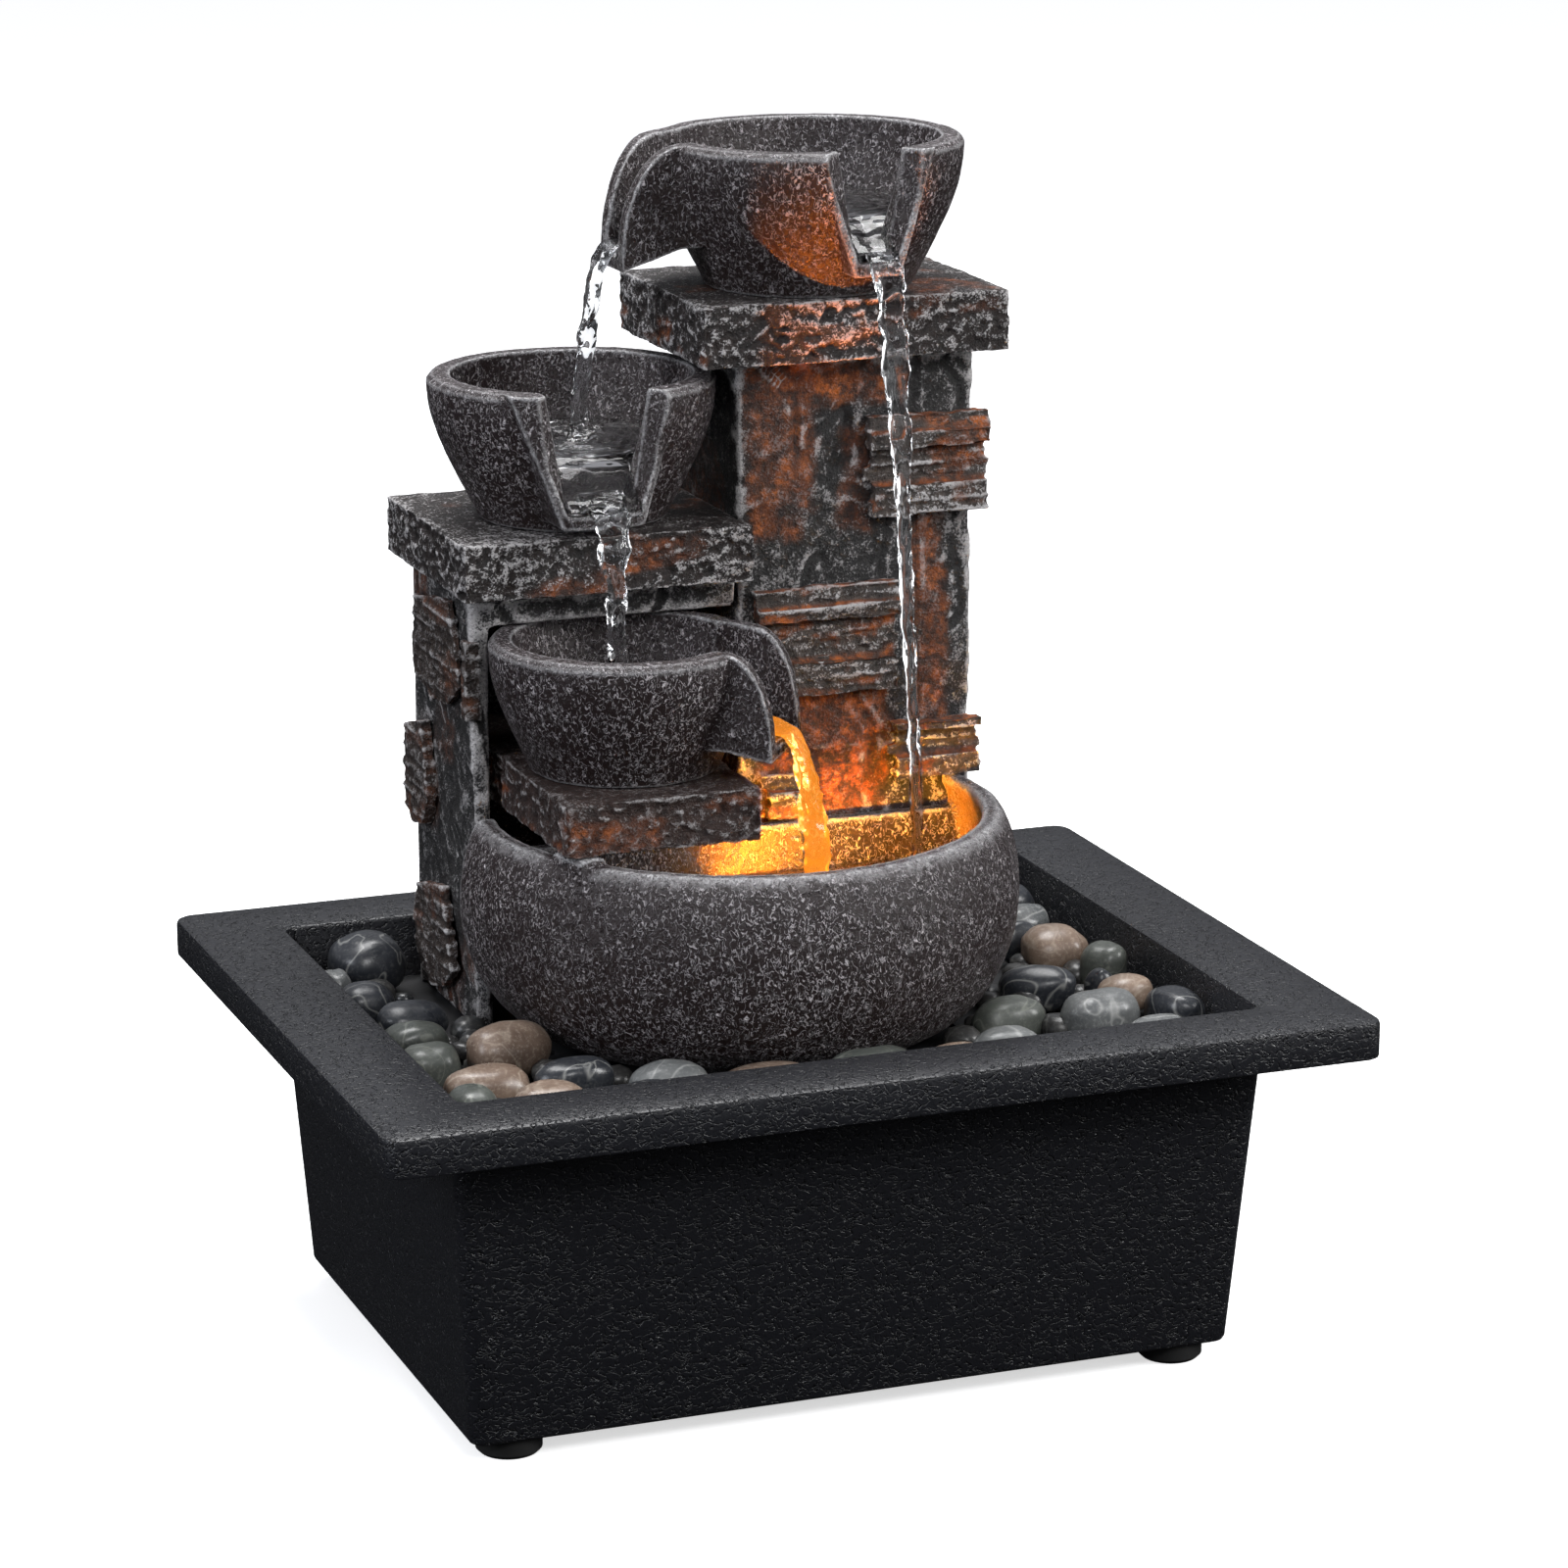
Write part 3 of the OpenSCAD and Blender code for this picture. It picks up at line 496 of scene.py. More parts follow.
def bowl_shape(points, normals):
    """Cast resin bowl: faint hand-formed unevenness; the top is dry-brushed more than the foot."""
    moved = 0.22 * layered_noise(points, 11, 3) + 0.1 * layered_noise(points, 2.6, 5, 2) - 0.08
    low, high = points[:, 2].min(), points[:, 2].max()
    level = (points[:, 2] - low) / (high - low)
    brush = 0.75 * level + 0.4 * smooth_step(level, 0.9, 1.0) * np.clip(normals[:, 2], 0, 1)
    brush = np.where(normals[:, 2] > 0.7, brush * smooth_step(level, 0.5, 0.9), brush)
    # no painted lamp light on these bowls
    return moved, {"brush": brush, "painted_lamp_light": np.zeros(len(points))}


def base_bowl_shape(points, normals):
    """The base bowl's inner wall below the rim gets a paler, warm colour: painted lamp light, so the amber lamp
    shows strongly on it.
    """
    moved, marks = bowl_shape(points, normals)
    out = points[:, :2] - np.array(BASE_AXIS)
    inward = -(normals[:, :2] * out).sum(1) / (np.hypot(out[:, 0], out[:, 1]) + 1e-6)
    below_rim = smooth_step(points[:, 2].max() - points[:, 2], 1.0, 3.0)
    # painted lamp light: marks the inward-facing wall below the rim for the pale warm colour
    marks["painted_lamp_light"] = smooth_step(inward, 0.3, 0.7) * below_rim
    return moved, marks


def slab_shape(seed, top_relief=0.3, side_relief=0.85):
    """Split stone: broken side faces with nibbled edges, a calmer top. Nothing moves outwards."""
    def shape(points, normals):
        low, high = points.min(0), points.max(0)
        side = smooth_step(1 - np.abs(normals[:, 2]), 0.2, 0.8)
        rough = (
            0.5 * facets(points, (7, 7, 5), seed)
            + 0.5 * facets(points, (2.8, 2.8, 2), seed + 31)
            + 0.3 * layered_noise(points, 1.6, seed + 40, 2)
        )
        edge = np.minimum(points[:, 2] - low[2], high[2] - points[:, 2])
        calm = 0.2 + 0.8 * smooth_step(edge, 0.2, 2.4)
        to_face = np.minimum(points - low, high - points)
        corner = np.sort(to_face, 1)[:, 1]
        bites = np.clip(0.15 + 0.8 * layered_noise(points, 5, seed + 3), 0, 1)
        nibble = smooth_step(-corner, -1.6, 0) * bites
        moved = side * side_relief * np.minimum(rough - 0.35, 0.1) * calm - nibble
        moved += (1 - side) * top_relief * (layered_noise(points, 7, seed + 5, 4) - 0.5)
        rust = smooth_step(layered_noise(points, (20, 20, 9), seed + 9), 0.15, 0.4) * 0.7
        return moved, {"rust": rust}
    return shape


def patch(points, x0, x1, z0, z1, seed, soft=2.0):
    """1 inside an uneven rectangle of the front face, 0 outside."""
    shift = 4.5 * layered_noise(points, 8, seed, 4)
    x, z = points[:, 0] + shift, points[:, 2] - shift
    inside = np.minimum(np.minimum(x - x0, x1 - x), np.minimum(z - z0, z1 - z))
    return smooth_step(inside, -soft, soft)


def column_shape(points, normals):
    """Cast stone wall: big shallow plates, a crack, a vertical joint and painted rust; the lowest rust patch,
    over the lamp, is partly painted lamp glow.
    """
    low, high = points.min(0), points.max(0)
    outer = np.minimum(points[:, :2] - low[:2], high[:2] - points[:, :2]).min(1) < 1.2
    back = points[:, 1] > high[1] - 2.4
    plates = facets(points, (30, 30, 36), 71, 0.35, 26)
    blocks = facets(points, (7, 7, 6), 72, 0.3)
    fine = layered_noise(points, 3.2, 73, 3)
    crack = np.abs(layered_noise(points, (24, 24, 44), 75, 3))
    joint_x = 49.0 + 1.2 * value_noise(points, 14, 76)
    joint = smooth_step(-np.abs(points[:, 0] - joint_x), -1.1, -0.2) * (normals[:, 1] < -0.5)
    moved = 0.5 * (plates - 0.5) + 0.3 * (blocks - 0.3) + 0.25 * fine
    moved = np.minimum(moved, 0.15) - 0.8 * smooth_step(-crack, -0.035, 0) - 0.7 * joint
    amount = np.where(outer, 1.0, 0.0) * np.where(back, 0.12, 1.0)
    front = normals[:, 1] < -0.5
    painted = np.maximum.reduce([
        1.0 * patch(points, 4, 42, 229, 245, 81),
        0.75 * patch(points, 4, 22, 203, 236, 85),
        0.8 * patch(points, 6, 17, 196, 208, 87),
        0.6 * patch(points, 30, 37, 196, 222, 84),
        0.9 * patch(points, 49, 57, 140, 200, 82),
        # partly rust paint and partly painted lamp glow: the strong orange patch low on the front, where the
        # amber lamp shines
        1.0 * patch(points, 8, 42, 124, 158, 83),
    ])
    sides = 0.45 * smooth_step(layered_noise(points, (20, 20, 26), 78), 0.1, 0.4)
    return moved * amount, {"rust": np.where(front, painted, sides)}


def course_shape(seed, relief=1.0, rusty=1.0):
    """Stacked thin courses: level, sharp layers with rust lying on their upper edges."""
    def shape(points, normals):
        strata = value_noise(points, (38, 38, 1.5), seed) + 0.5 * value_noise(points, (20, 20, 0.8), seed + 1)
        rough = facets(points, (6, 6, 2.4), seed + 3, 0.5)
        moved = 0.5 * strata + 0.4 * rough + 0.25 * layered_noise(points, 1.8, seed + 8, 2) - 0.45
        rust = 0.9 * smooth_step(normals[:, 2], 0.2, 0.8)
        rust = np.maximum(rust, 0.8 * smooth_step(layered_noise(points, (12, 12, 6), seed + 6), 0.1, 0.3))
        return relief * moved, {"rust": rusty * rust}
    return shape


bowl_stone = bowl_material("bowl_stone")
slab_stone = stone_material("slab_stone", (0.006, 0.0036, 0.003), (0.028, 0.018, 0.0155), SPECK, 0.8, RUST)
column_stone = stone_material("column_stone", (0.007, 0.0068, 0.0068), (0.03, 0.028, 0.028), SPECK, 0.5, RUST)
facing_stone = stone_material("facing_stone", (0.02, 0.015, 0.0125), (0.1, 0.078, 0.066), SPECK, 0.8, RUST)
shelf_stone = stone_material("shelf_stone", (0.014, 0.0055, 0.0038), (0.042, 0.019, 0.013), SPECK, 0.3, RUST)
wall_stone = stone_material("wall_stone", (0.014, 0.008, 0.006), (0.045, 0.028, 0.02), SPECK, 0.4, RUST)

carve("base_bowl_stone", ["base_bowl"], 0.8, base_bowl_shape, bowl_stone, 4)
carve("lower_bowl_stone", ["lower_bowl"], 0.5, bowl_shape, bowl_stone, 3)
carve("middle_bowl_stone", ["middle_bowl"], 0.5, bowl_shape, bowl_stone, 3)
carve("upper_bowl_stone", ["upper_bowl"], 0.5, bowl_shape, bowl_stone, 3)
carve("lower_slab_stone", ["lower_slab"], 0.5, slab_shape(11), shelf_stone)
carve("middle_slab_stone", ["middle_slab"], 0.5, slab_shape(23), slab_stone)
carve("top_slab_stone", ["top_slab"], 0.5, slab_shape(37), slab_stone)
carve("short_column_stone", ["short_column"], 0.9, column_shape, column_stone)
carve("tall_column_stone", ["tall_column"], 0.9, column_shape, column_stone)
carve("pillar_facing", ["pillar_stones"], 0.45, course_shape(51, 1.0, 1.25), facing_stone, 1)
carve("side_facing", ["side_stones"], 0.45, course_shape(57), facing_stone, 1)
carve("wall_facing", ["wall_stones"], 0.45, course_shape(63, 0.8, 0.35), wall_stone, 1)


# ------------------------------------------------------------------ basin

def rounded_ring(half_w, half_d, radius, z, corner_steps=6):
    """Points of a rounded rectangle, anticlockwise from above."""
    ring = []
    for sx, sy, start in ((1, 1, 0), (-1, 1, 90), (-1, -1, 180), (1, -1, 270)):
        for i in range(corner_steps + 1):
            a = math.radians(start + 90 * i / corner_steps)
            ring.append((
                sx * (half_w - radius) + radius * math.cos(a),
                sy * (half_d - radius) + radius * math.sin(a),
                z,
            ))
    return ring


def make_basin():
    """The tray as one moulding: rings of points from the floor's underside, over the rim, to the inside."""
    high = node_box("basin_rim")[1]
    rim_w, rim_d, top = high[0], high[1], high[2]
    rim_under = top - RIM_THICKNESS
    skirt_z = top - SKIRT_HEIGHT
    skirt = SKIRT_WALL

    def body(z, inset=0.0):
        """Half the box's width and depth at height z."""
        return (FLOOR_W / 2 + (z - FLOOR_Z) * FLARE_W / 2 - inset,
                FLOOR_D / 2 + (z - FLOOR_Z) * FLARE_D / 2 - inset)

    rings = [
        (*body(FLOOR_Z, 1.3), 3.2, FLOOR_Z),
        (*body(FLOOR_Z, 0.4), 3.6, FLOOR_Z + 0.4),
        (*body(FLOOR_Z + 1.3), 4.0, FLOOR_Z + 1.3),
        (*body(rim_under), 4.0, rim_under),
        (rim_w - skirt, rim_d - skirt, 2.5, rim_under),
        (rim_w - skirt, rim_d - skirt, 2.5, skirt_z + 0.3),
        (rim_w - skirt + 0.4, rim_d - skirt + 0.4, 2.8, skirt_z),
        (rim_w - 0.6, rim_d - 0.6, 3.9, skirt_z),
        (rim_w - 0.15, rim_d - 0.15, 4.3, skirt_z + 0.25),
        (rim_w, rim_d, 4.5, skirt_z + 0.8),
        (rim_w, rim_d, 4.5, top - 1.2),
        (rim_w - 0.3, rim_d - 0.3, 4.3, top - 0.4),
        (rim_w - 1.1, rim_d - 1.1, 3.8, top),
        (body(top, BASIN_WALL)[0] + 0.9, body(top, BASIN_WALL)[1] + 0.9, 3.4, top),
        (body(top, BASIN_WALL)[0] + 0.25, body(top, BASIN_WALL)[1] + 0.25, 2.9, top - 0.3),
        (*body(top - 1, BASIN_WALL), 2.6, top - 1.0),
        (*body(FLOOR_Z + BASIN_WALL, BASIN_WALL), 2.6, FLOOR_Z + BASIN_WALL),
    ]
    points = [p for r in rings for p in rounded_ring(*r)]
    count = len(points) // len(rings)
    faces = [list(range(count))[::-1]]
    for i in range(len(rings) - 1):
        for j in range(count):
            k = (j + 1) % count
            faces.append([i * count + j, i * count + k, (i + 1) * count + k, (i + 1) * count + j])
    faces.append([(len(rings) - 1) * count + j for j in range(count)])
    obj = object_from("basin_moulding", points, faces)

    def block(x0, x1, y0, y1, z0, z1):
        return [(x, y, z) for z in (z0, z1) for x, y in ((x0, y0), (x1, y0), (x1, y1), (x0, y1))]

    low, far = node_box("cord_gate")
    middle = (low[0] + far[0]) / 2
    notch_half, inside_wall, skirt_inside = 7, 60, rim_d - 5
    gate_slot = block(low[0], far[0], inside_wall, skirt_inside, low[2], far[2])
    cord_notch = block(middle - notch_half, middle + notch_half, skirt_inside, rim_d + 5, skirt_z - 2, rim_under)
    block_faces = [[3, 2, 1, 0], [4, 5, 6, 7], [0, 1, 5, 4], [1, 2, 6, 5], [2, 3, 7, 6], [3, 0, 4, 7]]
    for opening in (gate_slot, cord_notch):
        cutter = object_from("opening", opening, block_faces)
        cut = obj.modifiers.new("opening", "BOOLEAN")
        cut.object = cutter
        apply_modifiers(obj)
        bpy.data.objects.remove(cutter)
    smooth_shading(obj.data)
    obj.data.set_sharp_from_angle(angle=math.radians(40))
    finish_piece(obj, "basin", basin_black, ["basin", "basin_rim"])


basin_black = wrinkled_plastic("basin_black")
make_basin()


# ------------------------------------------------------------------ pebbles

def loose_parts(mesh):
    """Lists of vertex numbers, one for each separate solid."""
    count = len(mesh.vertices)
    keys = np.round(get_points(mesh) * 50).astype(np.int64)
    _, same = np.unique(keys, axis=0, return_inverse=True)
    same = same.ravel()
    first = np.full(same.max() + 1, count)
    np.minimum.at(first, same, np.arange(count))
    label = first[same]
    edges = edge_array(mesh)
    while True:
        low = np.minimum(label[edges[:, 0]], label[edges[:, 1]])
        new = label.copy()
        np.minimum.at(new, edges[:, 0], low)
        np.minimum.at(new, edges[:, 1], low)
        group = np.full(count, count)
        np.minimum.at(group, first[same], new)
        new = group[first[same]]
        if (new == label).all():
            return [np.flatnonzero(label == v) for v in np.unique(label)]
        label = new


def ball(steps):
    """Points and faces of a unit sphere."""
    bm = bmesh.new()
    bmesh.ops.create_icosphere(bm, subdivisions=steps, radius=1)
    points = np.array([v.co for v in bm.verts])
    faces = [[v.index for v in f.verts] for f in bm.faces]
    bm.free()
    return points, faces


def river_stone(unit, centre, axes, half, seed):
    """Points of one worn stone: a slightly boxy ellipsoid with soft, uneven cheeks."""
    p = unit / (np.abs(unit) ** 2.5).sum(1)[:, None] ** (1 / 2.5)
    broad, fine = value_noise(unit * 10, 9, seed), value_noise(unit * 10, 4, seed + 1)
    p = p * (1 + 0.11 * broad[:, None] + 0.035 * fine[:, None])
    p = p / np.abs(p).max(0)
    return centre + (p * half) @ axes


def make_pebbles(node, material):
    """Worn stones in the places and sizes of the CAD node's solids."""
    unit, faces = ball(4)
    all_points, all_faces, tones, seeds = [], [], [], []
    mesh = nodes[node].data
    points = get_points(mesh)
    for number, part in enumerate(loose_parts(mesh)):
        own = points[part]
        low, high = own.min(0), own.max(0)
        centre = (low + high) / 2
        flat = own[:, :2] - centre[:2]
        _, _, turn = np.linalg.svd(flat - flat.mean(0), full_matrices=False)
        axes = np.eye(3)
        axes[:2, :2] = turn
        half = np.abs((own - centre) @ axes.T).max(0)
        seed = 100 + 13 * number + len(node)
        offset = len(all_points) * len(unit)
        all_points.append(river_stone(unit, centre, axes, half, seed))
        all_faces += [[v + offset for v in f] for f in faces]
        tones.append(np.full(len(unit), lattice(np.int64(number), np.int64(7), np.int64(len(node)), 5)))
        seeds.append(np.full(len(unit), 0.37 * number))
    obj = object_from(node + "_worn", np.concatenate(all_points), all_faces)
    set_attribute(obj.data, "tone", np.concatenate(tones))
    set_attribute(obj.data, "seed", np.concatenate(seeds))
    smooth_shading(obj.data)
    finish_piece(obj, "basin", material, [node])


make_pebbles("pebbles_dark", pebble_material("pebble_dark", (0.009, 0.0105, 0.0135), (0.026, 0.029, 0.036),
                                             (0.35, 0.35, 0.33), 0.5, 0.12))
make_pebbles("pebbles_green", pebble_material("pebble_green", (0.032, 0.037, 0.034), (0.1, 0.108, 0.095),
                                              (0.34, 0.35, 0.3), 0.35, 0.2))
make_pebbles("pebbles_tan", pebble_material("pebble_tan", (0.075, 0.048, 0.036), (0.3, 0.215, 0.16),
                                            (0.6, 0.52, 0.42), 0.25, 0.3))
make_pebbles("pebbles_light", pebble_material("pebble_light", (0.06, 0.066, 0.07), (0.19, 0.195, 0.19),
                                              (0.5, 0.5, 0.48), 0.4, 0.25))


def make_fillers():
    """Small stones that fill the gaps between the pebbles, down on the shelf."""
    unit, faces = ball(2)
    rng = np.random.default_rng(4)
    taken, points, all_faces, tones, seeds = [], [], [], [], []
    foot_r = 56.0
    wall_x, wall_y = 99.5, 72.6
    columns_left, columns_right, columns_back = -75, 72, 71
    gate_left, gate_right, gate_front = 65, 95, 66
    closeness = 0.8
    for number in range(900):
        x, y = rng.uniform(-98, 98), rng.uniform(-71, 71)
        r = rng.uniform(3.0, 5.2)
        under_bowl = math.hypot(x - BASE_AXIS[0], y - BASE_AXIS[1]) < foot_r + r and y < COLUMN_FRONT + r
        in_columns = columns_left - r < x < columns_right + r and COLUMN_FRONT - r < y < columns_back + r
        at_wall = abs(x) > wall_x - r or abs(y) > wall_y - r
        at_gate = gate_left < x < gate_right and y > gate_front - r
        if under_bowl or in_columns or at_wall or at_gate:
            continue
        if any(math.hypot(x - a, y - b) < (r + c) * closeness for a, b, c in taken):
            continue
        taken.append((x, y, r))
        half = np.array([r, r * rng.uniform(0.7, 0.95), r * rng.uniform(0.6, 0.8)])
        angle = rng.uniform(0, math.pi)
        c, d = math.cos(angle), math.sin(angle)
        axes = np.array([[c, d, 0], [-d, c, 0], [0, 0, 1]])
        offset = len(points) * len(unit)
        points.append(river_stone(unit, np.array([x, y, SHELF_TOP + half[2]]), axes, half, 300 + number))
        all_faces += [[v + offset for v in f] for f in faces]
        tones.append(np.full(len(unit), rng.uniform(0, 1)))
        seeds.append(np.full(len(unit), rng.uniform(0, 9)))
    obj = object_from("pebbles_small", np.concatenate(points), all_faces)
    set_attribute(obj.data, "tone", np.concatenate(tones))
    set_attribute(obj.data, "seed", np.concatenate(seeds))
    smooth_shading(obj.data)
    finish_piece(obj, "basin", pebble_material(
        "pebble_small", (0.009, 0.0105, 0.013), (0.048, 0.046, 0.043), (0.3, 0.3, 0.28), 0.2, 0.15))


make_fillers()


# ------------------------------------------------------------------ water

water = water_material()
# painted shade: the grey tint darkens the pools and the bowl floors seen through them
still_water = water_material("still_water", (0.72, 0.71, 0.72))
# painted light: the orange tint and the emission stand for the amber lamp's light in the fall over it
lit_water = water_material("water_over_lamp", (1.0, 0.62, 0.2), 0.1, 0.4)


def turned(axis, degrees):
    """Returns a function from world x, y to a bowl's own axes, turned about its centre."""
    c, s = math.cos(math.radians(degrees)), math.sin(math.radians(degrees))

    def local(x, y):
        dx, dy = x - axis[0], y - axis[1]
        return dx * c + dy * s, -dx * s + dy * c
    return local


def pool(name, box, inside, top, cell=0.9):
    """A rippled sheet of water with its own underside: cells of a grid where inside(x, y) holds."""
    x0, x1, y0, y1 = box
    xs, ys = np.arange(x0, x1, cell), np.arange(y0, y1, cell)
    gx, gy = np.meshgrid(xs, ys, indexing="ij")
    thickness = 3.0
    use = inside(gx + cell / 2, gy + cell / 2)
    flat = np.stack([gx.ravel(), gy.ravel(), np.zeros(gx.size)], 1)
    ripples = 0.34 * layered_noise(flat, (4.6, 3.0, 4), 91, 2)
    height = top(gx, gy).ravel() + ripples + 0.05 * value_noise(flat, 1.6, 92)
    upper = np.column_stack([flat[:, :2], height])
    lower = np.column_stack([flat[:, :2], height - thickness])
    points = np.concatenate([upper, lower])
    columns, half = gx.shape[1], gx.size
    faces = []
    for i, j in zip(*np.nonzero(use)):
        if i + 1 >= gx.shape[0] or j + 1 >= columns:
            continue
        a, b, c, d = i * columns + j, (i + 1) * columns + j, (i + 1) * columns + j + 1, i * columns + j + 1
        faces.append([a, b, c, d])
        faces.append([half + a, half + d, half + c, half + b])
        for (p, q), (di, dj) in (((a, b), (0, -1)), ((b, c), (1, 0)), ((c, d), (0, 1)), ((d, a), (-1, 0))):
            ni, nj = i + di, j + dj
            if not (0 <= ni < use.shape[0] - 1 and 0 <= nj < use.shape[1] - 1 and use[ni, nj]):
                faces.append([q, p, half + p, half + q])
    used = np.unique([v for f in faces for v in f])
    number = np.zeros(len(points), int)
    number[used] = np.arange(len(used))
    obj = object_from(name, points[used], [[int(number[v]) for v in f] for f in faces])
    smooth_shading(obj.data)
    obj.data.set_sharp_from_angle(angle=math.radians(60))
    finish_piece(obj, "sculpture", still_water)


def rings_from(gx, gy, at, size, length, reach):
    """Circular ripples about a point."""
    r = np.hypot(gx - at[0], gy - at[1])
    return size * np.cos(2 * math.pi * r / length) * np.exp(-r / reach)


def stream(name, path, across, half_widths, half_depths, twist, seed, material):
    """A falling rope of water along a path of points, with an uneven, twisting cross-section."""
    steps, sides = 170, 28
    path = np.array(path, float)
    length = np.concatenate([[0], np.cumsum(np.linalg.norm(np.diff(path, axis=0), axis=1))])
    s = np.linspace(0, length[-1], steps)
    centre = np.stack([np.interp(s, length, path[:, k]) for k in range(3)], 1)
    padded = np.concatenate([np.repeat(centre[:1], 6, 0), centre, np.repeat(centre[-1:], 6, 0)])
    kernel = np.hanning(15)[1:-1]
    kernel /= kernel.sum()
    centre = np.stack([np.convolve(padded[:, k], kernel, "valid") for k in range(3)], 1)
    tangent = np.gradient(centre, axis=0)
    tangent /= np.linalg.norm(tangent, axis=1)[:, None] + 1e-9
    t = s / s[-1]
    width = np.interp(t, np.linspace(0, 1, len(half_widths)), half_widths)
    depth = np.interp(t, np.linspace(0, 1, len(half_depths)), half_depths)
    wide = np.array(across, float)
    points = []
    for i in range(steps):
        w = wide - tangent[i] * (wide @ tangent[i])
        w /= np.linalg.norm(w)
        d = np.cross(tangent[i], w)
        turn = math.radians(twist) * smooth_step(np.array(t[i]), 0.15, 1.0)
        w, d = w * math.cos(turn) + d * math.sin(turn), d * math.cos(turn) - w * math.sin(turn)
        a = np.linspace(0, 2 * math.pi, sides, endpoint=False)
        swirl = a + t[i] * 3.5
        place = np.stack([np.cos(swirl) * 4, np.sin(swirl) * 4, np.full(sides, s[i])], 1)
        swell = 0.36 * value_noise(place, (2.8, 2.8, 4.2), seed)
        uneven = 1 + swell + 0.2 * value_noise(place, (1.5, 1.5, 2.2), seed + 1)
        across_w, across_d = np.cos(a) * width[i] * uneven, np.sin(a) * depth[i] * uneven
        points.append(centre[i] + np.outer(across_w, w) + np.outer(across_d, d))
    points = np.concatenate(points)
    faces = []
    for i in range(steps - 1):
        for j in range(sides):
            k = (j + 1) % sides
            faces.append([i * sides + j, i * sides + k, (i + 1) * sides + k, (i + 1) * sides + j])
    faces.append(list(range(sides))[::-1])
    faces.append([(steps - 1) * sides + j for j in range(sides)])
    obj = object_from(name, points, faces)
    smooth_shading(obj.data)
    finish_piece(obj, "sculpture", material)


